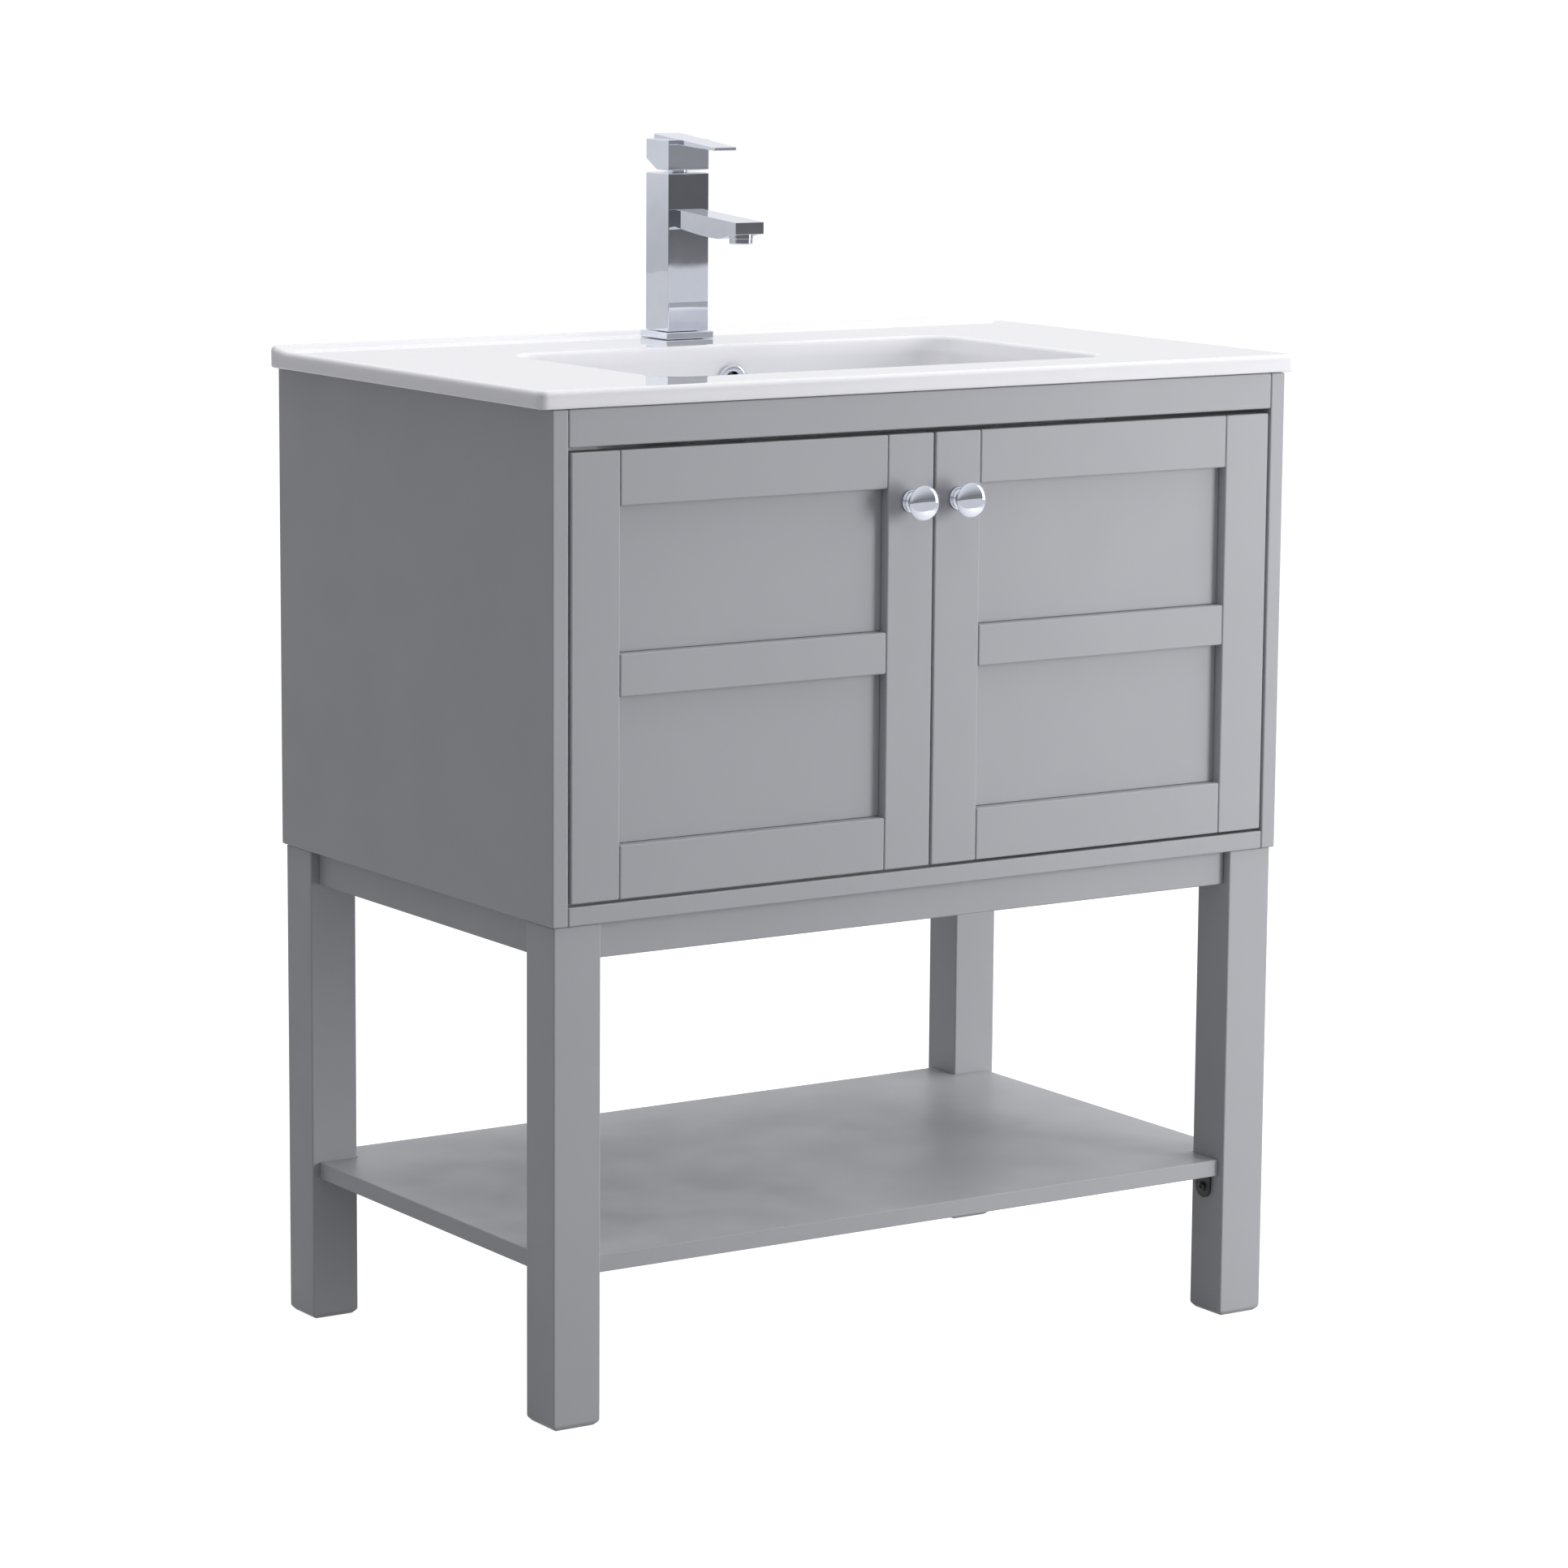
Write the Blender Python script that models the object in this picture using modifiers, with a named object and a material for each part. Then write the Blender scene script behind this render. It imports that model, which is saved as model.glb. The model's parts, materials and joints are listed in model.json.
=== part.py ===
"""Bathroom vanity cabinet: a painted two-door cabinet on four legs with a low shelf,
a one-piece ceramic basin top, a square single-lever tap and its waste fitting.

Metres, +Z up, floor at z = 0, front towards -Y, centred on x = 0.
"""
import math

import bmesh
import bpy
from mathutils import Vector

# ---- driving dimensions ------------------------------------------------------------
GAP = 0.0003                    # clearance between pieces that touch
BOARD = 0.018                   # thickness of rails, aprons and door frames

CARCASS_WIDTH = 0.750
CARCASS_DEPTH = 0.470
CARCASS_BOTTOM = 0.427
CARCASS_TOP = 0.851
SIDE_THICKNESS = 0.015
FLOOR_THICKNESS = 0.016
TOP_RAIL_BOTTOM = 0.820
UPPER_BACK_RAIL_BOTTOM = 0.760
LOWER_BACK_RAIL_TOP = 0.503

LEG_SIZE = 0.045
LEG_INSET = 0.003
LEG_CHAMFER = 0.004
LEG_BEVEL = 0.0012
APRON_HEIGHT = 0.031
APRON_SETBACK = 0.008

SHELF_TOP = 0.1443
SHELF_THICKNESS = 0.015
SHELF_SETBACK = 0.007
BRACKET_WIDTH = 0.020
BRACKET_DROP = 0.023
BRACKET_FLANGE = 0.018
BRACKET_THICKNESS = 0.002
BRACKET_CENTRE = 0.0265         # from the leg's outer face, along Y
SCREW_RADIUS = 0.0019
SCREW_HEAD_RADIUS = 0.0042
SCREW_LENGTH = 0.0125

DOOR_TOP = 0.816
DOOR_BOTTOM = 0.4453
DOOR_SIDE_GAP = 0.0025
DOOR_MIDDLE_GAP = 0.002
STILE_WIDTH = 0.0465
DOOR_RAILS = {"bottom_rail": (DOOR_BOTTOM, 0.4905), "middle_rail": (0.6135, 0.6490),
              "top_rail": (0.7705, DOOR_TOP)}
PANEL_RECESS = 0.0095
PANEL_THICKNESS = 0.006
FRAME_BEVEL = 0.0007

KNOB_HEIGHT = 0.759
KNOB_REACH = 0.0235
HINGE_HEIGHTS = {"lower": 0.520, "upper": 0.741}
CUP_OFFSET = 0.022              # hinge cup centre, from the door's hinge edge
CUP_RADIUS = 0.013
CUP_DEPTH = 0.010
CUP_FLANGE_RADIUS = 0.018
HINGE_ARM_HEIGHT = 0.014

RIM_OVERHANG_SIDE = 0.012
RIM_OVERHANG_FRONT = 0.002
RIM_SETBACK_BACK = 0.004
RIM_BOTTOM = 0.8515
RIM_TOP = 0.867
BACK_LIP = 0.004                # the rim's rear edge stands this much higher
BOWL_HALF_WIDTH = 0.228
BOWL_FRONT = 0.063              # bowl opening, from the carcass front
BOWL_BACK = 0.322
BOWL_FLOOR = 0.742
DRAIN_FROM_FRONT = 0.205
DRAIN_HOLE_RADIUS = 0.0225
DRAIN_BORE_RADIUS = 0.0175
TAIL_RADIUS = 0.016
TAIL_BORE_RADIUS = 0.014
TAIL_LENGTH = 0.142             # from the bowl floor to the outlet
OVERFLOW_HEIGHT = 0.835
OVERFLOW_RADIUS = 0.0145

TAP_FROM_FRONT = 0.410
TAP_WIDTH = 0.043
TAP_DEPTH = 0.0385
TAP_PLATE_WIDTH = 0.050
TAP_PLATE_DEPTH = 0.046
TAP_PLATE_THICKNESS = 0.0065
TAP_BODY_TOP = 1.016
SPOUT_WIDTH = 0.0295
SPOUT_REACH = 0.101
SPOUT_TOP = 0.9838              # where it leaves the column
SPOUT_TIP_TOP = 0.9770
SPOUT_THICKNESS = 0.0155
AERATOR_RADIUS = 0.0107
AERATOR_LENGTH = 0.0118
LEVER_REACH = 0.061
LEVER_WIDTH = 0.028
CAP_BOTTOM = 1.0185
CAP_TOP = 1.046
CARTRIDGE_RADIUS = 0.013
CARTRIDGE_NECK_RADIUS = 0.009   # where it shows between the column and the cap
CARTRIDGE_DEPTH = 0.0147
SHANK_RADIUS = 0.014
SHANK_END = 0.795

SEGMENTS = 32                   # sides of a turned piece

# ---- places worked out from them ---------------------------------------------------
HALF_WIDTH = CARCASS_WIDTH / 2
INNER_HALF_WIDTH = HALF_WIDTH - SIDE_THICKNESS
FRONT_Y = (KNOB_REACH + GAP - CARCASS_DEPTH) / 2
BACK_Y = FRONT_Y + CARCASS_DEPTH
FLOOR_TOP = CARCASS_BOTTOM + FLOOR_THICKNESS
LEG_OUTER_X = HALF_WIDTH - LEG_INSET
LEG_INNER_X = LEG_OUTER_X - LEG_SIZE
LEG_ROWS = {"front": (FRONT_Y + LEG_INSET, 1), "back": (BACK_Y - LEG_INSET, -1)}
SHELF_BOTTOM = SHELF_TOP - SHELF_THICKNESS
DOOR_OUTER_X = INNER_HALF_WIDTH - DOOR_SIDE_GAP
DOOR_INNER_X = DOOR_MIDDLE_GAP / 2
DOOR_BACK_Y = FRONT_Y + BOARD
DRAIN_Y = FRONT_Y + DRAIN_FROM_FRONT
TAP_Y = FRONT_Y + TAP_FROM_FRONT
TAP_FRONT_Y = TAP_Y - TAP_DEPTH / 2
SIDES = {"left": -1, "right": 1}

# ---- finishes: colour, roughness, metallic -----------------------------------------
PAINT = ((0.43, 0.44, 0.47, 1), 0.42, 0.0)
RAW_BOARD = ((0.50, 0.50, 0.52, 1), 0.6, 0.0)
CERAMIC = ((0.90, 0.90, 0.91, 1), 0.06, 0.0)
CHROME = ((0.80, 0.81, 0.83, 1), 0.07, 1.0)
NICKEL = ((0.62, 0.61, 0.58, 1), 0.25, 1.0)
BLACK_STEEL = ((0.04, 0.04, 0.045, 1), 0.5, 0.3)


def clear_scene():
    for obj in list(bpy.data.objects):
        bpy.data.objects.remove(obj, do_unlink=True)


def make_collections():
    parts = bpy.data.collections.new("bathroom_vanity_cabinet")
    cutters = bpy.data.collections.new("cutters")
    bpy.context.scene.collection.children.link(parts)
    bpy.context.scene.collection.children.link(cutters)
    return parts, cutters


def move_to(obj, collection):
    for old in list(obj.users_collection):
        old.objects.unlink(obj)
    collection.objects.link(obj)


def set_finish(obj, finish):
    colour, roughness, metallic = finish
    material = bpy.data.materials.new(obj.name + "_finish")
    material.use_nodes = True
    shader = material.node_tree.nodes["Principled BSDF"]
    shader.inputs["Base Color"].default_value = colour
    shader.inputs["Roughness"].default_value = roughness
    shader.inputs["Metallic"].default_value = metallic
    obj.data.materials.clear()
    obj.data.materials.append(material)


def new_object(name, mesh, finish, location=(0, 0, 0)):
    obj = bpy.data.objects.new(name, mesh)
    obj.location = location
    PARTS.objects.link(obj)
    set_finish(obj, finish)
    return obj


# ---- modelling tools ---------------------------------------------------------------
def add_bevel(obj, width):
    bevel = obj.modifiers.new("Bevel", "BEVEL")
    bevel.width = width
    bevel.segments = 1
    bevel.limit_method = "ANGLE"
    bevel.angle_limit = math.radians(40)


def box(name, low, high, finish, bevel=0.0):
    """A box between two corners, with its origin at its centre."""
    low = Vector(low)
    high = Vector(high)
    bpy.ops.mesh.primitive_cube_add(size=1, location=(low + high) / 2)
    obj = bpy.context.object
    obj.name = name
    obj.scale = high - low
    bpy.ops.object.transform_apply(location=False, rotation=False, scale=True)
    move_to(obj, PARTS)
    set_finish(obj, finish)
    if bevel:
        add_bevel(obj, bevel)
    return obj


def turned(name, profile, centre, finish, rotation=(0, 0, 0), closed=False):
    """A profile of (radius, height) points turned about the object's own Z axis."""
    area = sum(a[0] * b[1] - b[0] * a[1] for a, b in zip(profile, profile[1:] + profile[:1]))
    if area > 0:
        profile = profile[::-1]
    mesh = bpy.data.meshes.new(name)
    points = [(radius, 0, height) for radius, height in profile]
    edges = [(i, i + 1) for i in range(len(points) - 1)]
    if closed:
        edges.append((len(points) - 1, 0))
    mesh.from_pydata(points, edges, [])
    obj = new_object(name, mesh, finish, centre)
    obj.rotation_euler = rotation
    screw = obj.modifiers.new("Screw", "SCREW")
    screw.steps = SEGMENTS
    screw.render_steps = SEGMENTS
    screw.use_merge_vertices = True
    screw.merge_threshold = 0.00001
    screw.use_smooth_shade = True
    return obj


def outline_solid(name, outline, thickness, centre, finish, rotation=(0, 0, 0)):
    """A flat outline given a thickness, as a mesh that Booleans and Bevel can work on."""
    curve = bpy.data.curves.new(name + "_outline", "CURVE")
    curve.dimensions = "2D"
    curve.fill_mode = "BOTH"
    curve.extrude = thickness / 2
    spline = curve.splines.new("POLY")
    spline.points.add(len(outline) - 1)
    for point, (x, y) in zip(spline.points, outline):
        point.co = (x, y, 0, 1)
    spline.use_cyclic_u = True
    drawn = bpy.data.objects.new(name + "_outline", curve)
    bpy.context.scene.collection.objects.link(drawn)
    drawn.location = centre
    drawn.rotation_euler = rotation
    bpy.context.view_layer.update()
    evaluated = drawn.evaluated_get(bpy.context.evaluated_depsgraph_get())
    mesh = bpy.data.meshes.new_from_object(evaluated)
    solid = bmesh.new()
    solid.from_mesh(mesh)
    bmesh.ops.remove_doubles(solid, verts=solid.verts, dist=0.000001)
    bmesh.ops.recalc_face_normals(solid, faces=solid.faces)
    solid.to_mesh(mesh)
    solid.free()
    obj = new_object(name, mesh, finish)
    obj.matrix_world = drawn.matrix_world.copy()
    bpy.data.objects.remove(drawn, do_unlink=True)
    return obj


def combine(obj, other, operation):
    """Cut with, or join on, another object, which then only serves as the operand."""
    other.hide_render = True
    other.display_type = "WIRE"
    move_to(other, CUTTERS)
    boolean = obj.modifiers.new(operation.title(), "BOOLEAN")
    boolean.operation = operation
    boolean.solver = "EXACT"
    boolean.object = other


def round_cutter(name, radius, depth, centre, rotation=(0, 0, 0)):
    bpy.ops.mesh.primitive_cylinder_add(vertices=SEGMENTS, radius=radius, depth=depth,
                                        location=centre, rotation=rotation)
    cutter = bpy.context.object
    cutter.name = name
    return cutter


def pivot(name, location, children):
    """An empty on a joint's axis that carries the moving pieces."""
    empty = bpy.data.objects.new(name, None)
    empty.location = location
    PARTS.objects.link(empty)
    bpy.context.view_layer.update()
    for child in children:
        child.parent = empty
        child.matrix_parent_inverse = empty.matrix_world.inverted()
    return empty


# ---- carcass -----------------------------------------------------------------------
def make_carcass():
    for side, sign in SIDES.items():
        outer = sign * HALF_WIDTH
        inner = sign * INNER_HALF_WIDTH
        box(f"{side}_side_panel", (min(outer, inner), FRONT_Y, CARCASS_BOTTOM),
            (max(outer, inner), BACK_Y, CARCASS_TOP), PAINT, FRAME_BEVEL)
    half = INNER_HALF_WIDTH - GAP
    box("carcass_floor", (-half, FRONT_Y, CARCASS_BOTTOM), (half, BACK_Y, FLOOR_TOP), PAINT,
        FRAME_BEVEL)
    box("top_front_rail", (-half, FRONT_Y, TOP_RAIL_BOTTOM),
        (half, FRONT_Y + BOARD, CARCASS_TOP), PAINT, FRAME_BEVEL)
    box("upper_back_rail", (-half, BACK_Y - BOARD, UPPER_BACK_RAIL_BOTTOM),
        (half, BACK_Y, CARCASS_TOP), RAW_BOARD)
    box("lower_back_rail", (-half, BACK_Y - BOARD, FLOOR_TOP + GAP),
        (half, BACK_Y, LOWER_BACK_RAIL_TOP), RAW_BOARD)


# ---- open base ---------------------------------------------------------------------
def make_leg(name, sign_x, outer_y, inward):
    """A square post with a small chamfer round its foot."""
    outer_x = sign_x * LEG_OUTER_X
    inner_x = sign_x * LEG_INNER_X
    inner_y = outer_y + inward * LEG_SIZE
    leg = box(name, (min(outer_x, inner_x), min(outer_y, inner_y), 0),
              (max(outer_x, inner_x), max(outer_y, inner_y), CARCASS_BOTTOM - GAP), PAINT, LEG_BEVEL)
    mesh = bmesh.new()
    mesh.from_mesh(leg.data)
    foot = [edge for edge in mesh.edges if all(vert.co.z < 0 for vert in edge.verts)]
    bmesh.ops.bevel(mesh, geom=foot, offset=LEG_CHAMFER, segments=1, affect="EDGES")
    mesh.to_mesh(leg.data)
    mesh.free()
    return leg


def make_base():
    for row, (outer_y, inward) in LEG_ROWS.items():
        apron_y = outer_y + inward * APRON_SETBACK
        back_of_apron = apron_y + inward * BOARD
        half = LEG_INNER_X - GAP
        box(f"{row}_apron", (-half, min(apron_y, back_of_apron), CARCASS_BOTTOM - APRON_HEIGHT),
            (half, max(apron_y, back_of_apron), CARCASS_BOTTOM - GAP), PAINT, FRAME_BEVEL)
    leg_reach = LEG_SIZE + LEG_INSET + GAP
    for side, sign in SIDES.items():
        outer = sign * (LEG_OUTER_X - APRON_SETBACK)
        inner = outer - sign * BOARD
        box(f"{side}_apron", (min(outer, inner), FRONT_Y + leg_reach, CARCASS_BOTTOM - APRON_HEIGHT),
            (max(outer, inner), BACK_Y - leg_reach, CARCASS_BOTTOM - GAP), PAINT, FRAME_BEVEL)
        for row, (outer_y, inward) in LEG_ROWS.items():
            leg = make_leg(f"{row}_{side}_leg", sign, outer_y, inward)
            make_bracket(leg, f"{row}_{side}", sign, outer_y, inward)
    make_shelf()


def make_shelf():
    """The low shelf, notched round the four legs."""
    half_x = LEG_OUTER_X - SHELF_SETBACK
    half_y = CARCASS_DEPTH / 2 - LEG_INSET - SHELF_SETBACK
    notch_x = LEG_INNER_X - GAP
    notch_y = CARCASS_DEPTH / 2 - LEG_INSET - LEG_SIZE - GAP
    quarter = [(half_x, notch_y), (notch_x, notch_y), (notch_x, half_y)]
    outline = quarter + [(-x, y) for x, y in reversed(quarter)]
    outline += [(-x, -y) for x, y in quarter] + [(x, -y) for x, y in reversed(quarter)]
    middle = (0, (FRONT_Y + BACK_Y) / 2, SHELF_TOP - SHELF_THICKNESS / 2)
    shelf = outline_solid("shelf", outline, SHELF_THICKNESS, middle, PAINT)
    add_bevel(shelf, FRAME_BEVEL)


def make_bracket(leg, label, sign, outer_y, inward):
    """An angle bracket under the shelf, screwed to the leg's inner face."""
    centre_y = outer_y + inward * BRACKET_CENTRE
    face_x = sign * (LEG_INNER_X - GAP)
    plate_x = face_x - sign * BRACKET_THICKNESS / 2
    half = BRACKET_WIDTH / 2
    round_centre = BRACKET_DROP - half
    arc = [math.radians(180 + 15 * step) for step in range(13)]
    outline = [(-half, 0)]
    outline += [(half * math.cos(a), half * math.sin(a) - round_centre) for a in arc]
    outline.append((half, 0))
    bracket = outline_solid(f"{label}_shelf_bracket", outline, BRACKET_THICKNESS,
                            (plate_x, centre_y, SHELF_BOTTOM - GAP), BLACK_STEEL,
                            (math.pi / 2, 0, math.pi / 2))
    flange_end = face_x - sign * BRACKET_FLANGE
    flange = box(f"{label}_bracket_flange",
                 (min(face_x, flange_end), centre_y - half, SHELF_BOTTOM - GAP - BRACKET_THICKNESS),
                 (max(face_x, flange_end), centre_y + half, SHELF_BOTTOM - GAP), BLACK_STEEL)
    combine(bracket, flange, "UNION")
    screw_z = SHELF_BOTTOM - GAP - round_centre
    screw_point = (face_x, centre_y, screw_z)
    sideways = (0, math.pi / 2, 0)
    hole = SCREW_RADIUS + GAP
    bracket_hole = round_cutter(f"{label}_bracket_hole", hole, 0.010, screw_point, sideways)
    leg_hole = round_cutter(f"{label}_leg_hole", hole, 2 * SCREW_LENGTH + 0.003, screw_point, sideways)
    combine(bracket, bracket_hole, "DIFFERENCE")
    combine(leg, leg_hole, "DIFFERENCE")
    head = BRACKET_THICKNESS + 2 * GAP
    profile = [(0, head + 0.0022), (0.0025, head + 0.0018), (0.0040, head + 0.0007),
               (SCREW_HEAD_RADIUS, head), (SCREW_RADIUS, head),
               (SCREW_RADIUS, 0.0025 - SCREW_LENGTH), (0, -SCREW_LENGTH)]
    turned(f"{label}_bracket_screw", profile, screw_point, BLACK_STEEL,
           (0, -sign * math.pi / 2, 0))


# ---- doors -------------------------------------------------------------------------
def make_door(side, sign):
    """A five-piece framed door with two panels, a knob and two hinge cups."""
    outer = sign * DOOR_OUTER_X
    inner = sign * DOOR_INNER_X
    hinge_edge = outer - sign * STILE_WIDTH
    knob_edge = inner + sign * STILE_WIDTH
    pieces = []

    def board(name, x_a, x_b, z_low, z_high, front=0.0, thickness=BOARD, bevel=FRAME_BEVEL):
        piece = box(f"{side}_door_{name}", (min(x_a, x_b), FRONT_Y + front, z_low),
                    (max(x_a, x_b), FRONT_Y + front + thickness, z_high), PAINT, bevel)
        pieces.append(piece)
        return piece

    hinge_stile = board("hinge_stile", outer, hinge_edge, DOOR_BOTTOM, DOOR_TOP)
    board("knob_stile", knob_edge, inner, DOOR_BOTTOM, DOOR_TOP)
    rail_a = hinge_edge - sign * GAP
    rail_b = knob_edge + sign * GAP
    for name, (low, high) in DOOR_RAILS.items():
        board(name, rail_a, rail_b, low, high)
    for name, below, above in (("lower_panel", "bottom_rail", "middle_rail"),
                               ("upper_panel", "middle_rail", "top_rail")):
        board(name, rail_a, rail_b, DOOR_RAILS[below][1] + GAP, DOOR_RAILS[above][0] - GAP,
              PANEL_RECESS, PANEL_THICKNESS, 0)
    pieces.append(make_knob(side, (knob_edge + inner) / 2))
    for level, height in HINGE_HEIGHTS.items():
        pieces.append(make_hinge(side, sign, level, height, hinge_stile))
    pivot(f"{side}_door_axis", (outer, FRONT_Y, (DOOR_TOP + DOOR_BOTTOM) / 2), pieces)


def make_knob(side, x):
    """A round knob: base flange, waisted neck and a shallow domed disc."""
    profile = [(0, 0), (0.0098, 0), (0.0098, 0.0014), (0.0088, 0.0024), (0.0062, 0.0032),
               (0.0050, 0.0060), (0.0050, 0.0110), (0.0066, 0.0150), (0.0105, 0.0176),
               (0.0146, 0.0186), (0.0151, 0.0193), (0.0151, 0.0203), (0.0143, 0.0212),
               (0.0090, 0.0227), (0, KNOB_REACH)]
    return turned(f"{side}_knob", profile, (x, FRONT_Y - GAP, KNOB_HEIGHT), CHROME,
                  (math.pi / 2, 0, 0))


def make_hinge(side, sign, level, height, stile):
    """A concealed hinge: a cup let into the door, and an arm on the side panel."""
    cup_x = sign * (DOOR_OUTER_X - CUP_OFFSET)
    combine(stile, round_cutter(f"{side}_{level}_cup_pocket", CUP_RADIUS + 0.0004,
                                2 * (CUP_DEPTH + GAP), (cup_x, DOOR_BACK_Y, height),
                                (math.pi / 2, 0, 0)), "DIFFERENCE")
    flange = GAP + 0.0014
    profile = [(0, flange), (CUP_FLANGE_RADIUS - 0.0005, flange), (CUP_FLANGE_RADIUS, GAP),
               (CUP_RADIUS, GAP),
               (CUP_RADIUS - 0.001, -CUP_DEPTH), (0, -CUP_DEPTH)]
    cup = turned(f"{side}_{level}_hinge_cup", profile, (cup_x, DOOR_BACK_Y, height), NICKEL,
                 (-math.pi / 2, 0, 0))
    outline = [(GAP, 0.014), (GAP, 0.080), (0.012, 0.080), (0.014, 0.030), (0.030, 0.014),
               (0.031, 0.0024), (0.006, 0.0024)]
    arm_outline = [(sign * (INNER_HALF_WIDTH - x), DOOR_BACK_Y + y) for x, y in outline]
    arm = outline_solid(f"{side}_{level}_hinge_arm", arm_outline, HINGE_ARM_HEIGHT, (0, 0, height),
                        NICKEL)
    add_bevel(arm, 0.001)
    return cup


# ---- basin -------------------------------------------------------------------------
def ring_points(half_x, front, back, radius, height, corner_steps=6):
    """One closed section of the basin: a rounded rectangle, front and back from the front."""
    points = []
    corners = ((1, 1), (-1, 1), (-1, -1), (1, -1))
    for quarter, (sign_x, sign_y) in enumerate(corners):
        centre_x = sign_x * (half_x - radius)
        centre_y = FRONT_Y + (back - radius if sign_y > 0 else front + radius)
        for step in range(corner_steps + 1):
            angle = math.pi / 2 * (quarter + step / corner_steps)
            points.append(Vector((centre_x + radius * math.cos(angle),
                                  centre_y + radius * math.sin(angle), height)))
    return points


def circle_section(radius, height):
    return (radius, DRAIN_FROM_FRONT - radius, DRAIN_FROM_FRONT + radius, radius, height)


def basin_sections():
    """Sections from the drain bore under the bowl, up outside it, over the rim and down inside."""
    half = HALF_WIDTH + RIM_OVERHANG_SIDE
    front = -RIM_OVERHANG_FRONT
    back = CARCASS_DEPTH - RIM_SETBACK_BACK
    bowl = BOWL_HALF_WIDTH
    edge = 0.002
    return [
        circle_section(DRAIN_HOLE_RADIUS, BOWL_FLOOR - 0.014),
        (bowl - 0.076, BOWL_FRONT + 0.052, BOWL_BACK - 0.042, 0.050, BOWL_FLOOR - 0.014),
        (bowl - 0.030, BOWL_FRONT + 0.010, BOWL_BACK - 0.012, 0.045, BOWL_FLOOR + 0.004),
        (bowl + 0.007, BOWL_FRONT - 0.007, BOWL_BACK + 0.009, 0.035, 0.800),
        (bowl + 0.012, BOWL_FRONT - 0.011, BOWL_BACK + 0.012, 0.030, RIM_BOTTOM),
        (half - edge, front + edge, back - edge, 0.006, RIM_BOTTOM),
        (half, front, back, 0.008, RIM_BOTTOM + edge),
        (half, front, back, 0.008, RIM_TOP - edge),
        (half - edge, front + edge, back - edge, 0.006, RIM_TOP),
        (half - 0.022, front + 0.022, back - 0.022, 0.006, RIM_TOP),
        (bowl + 0.004, BOWL_FRONT - 0.004, BOWL_BACK + 0.004, 0.032, RIM_TOP),
        (bowl, BOWL_FRONT, BOWL_BACK, 0.028, RIM_TOP - edge),
        (bowl - 0.004, BOWL_FRONT + 0.003, BOWL_BACK - 0.003, 0.026, RIM_TOP - 0.007),
        (bowl - 0.012, BOWL_FRONT + 0.006, BOWL_BACK - 0.004, 0.030, 0.815),
        (bowl - 0.048, BOWL_FRONT + 0.024, BOWL_BACK - 0.024, 0.050, BOWL_FLOOR + 0.012),
        (bowl - 0.078, BOWL_FRONT + 0.050, BOWL_BACK - 0.048, 0.060, BOWL_FLOOR + 0.003),
        circle_section(0.036, BOWL_FLOOR),
        circle_section(DRAIN_HOLE_RADIUS, BOWL_FLOOR),
    ]


def make_basin():
    """The one-piece ceramic top, lofted through its sections, with tap and overflow holes."""
    mesh = bmesh.new()
    loops = []
    lip_start = FRONT_Y + CARCASS_DEPTH - RIM_SETBACK_BACK - 0.016
    for section in basin_sections():
        loop = [mesh.verts.new(point) for point in ring_points(*section)]
        loops.append(loop)
        for vert in loop:
            if vert.co.z > RIM_TOP - 0.0025 and vert.co.y > lip_start:
                vert.co.z += BACK_LIP
    for lower, upper in zip(loops, loops[1:] + loops[:1]):
        for i in range(len(lower)):
            j = (i + 1) % len(lower)
            mesh.faces.new((lower[i], lower[j], upper[j], upper[i]))
    bmesh.ops.recalc_face_normals(mesh, faces=mesh.faces)
    data = bpy.data.meshes.new("basin")
    mesh.to_mesh(data)
    mesh.free()
    basin = new_object("basin", data, CERAMIC)
    combine(basin, round_cutter("tap_hole", SHANK_RADIUS + 0.0025, 0.060, (0, TAP_Y, RIM_TOP)),
            "DIFFERENCE")
    overflow = (0, FRONT_Y + BOWL_BACK, OVERFLOW_HEIGHT)
    combine(basin, round_cutter("overflow_hole", OVERFLOW_RADIUS - 0.0045, 0.060, overflow,
                                (math.pi / 2, 0, 0)), "DIFFERENCE")


def make_overflow_ring():
    """A chrome ring on the bowl's back wall, with a sleeve in the overflow hole."""
    wall_y = FRONT_Y + BOWL_BACK - 0.0045
    bore = OVERFLOW_RADIUS - 0.0060
    sleeve = OVERFLOW_RADIUS - 0.0050
    profile = [(bore, 0.0022), (bore + 0.0012, 0.0030), (OVERFLOW_RADIUS - 0.001, 0.0026),
               (OVERFLOW_RADIUS, 0.0012), (sleeve, 0.0006), (sleeve, -0.0110), (bore, -0.0110)]
    turned("overflow_ring", profile, (0, wall_y, OVERFLOW_HEIGHT), CHROME, (math.pi / 2, 0, 0),
           closed=True)


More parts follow.
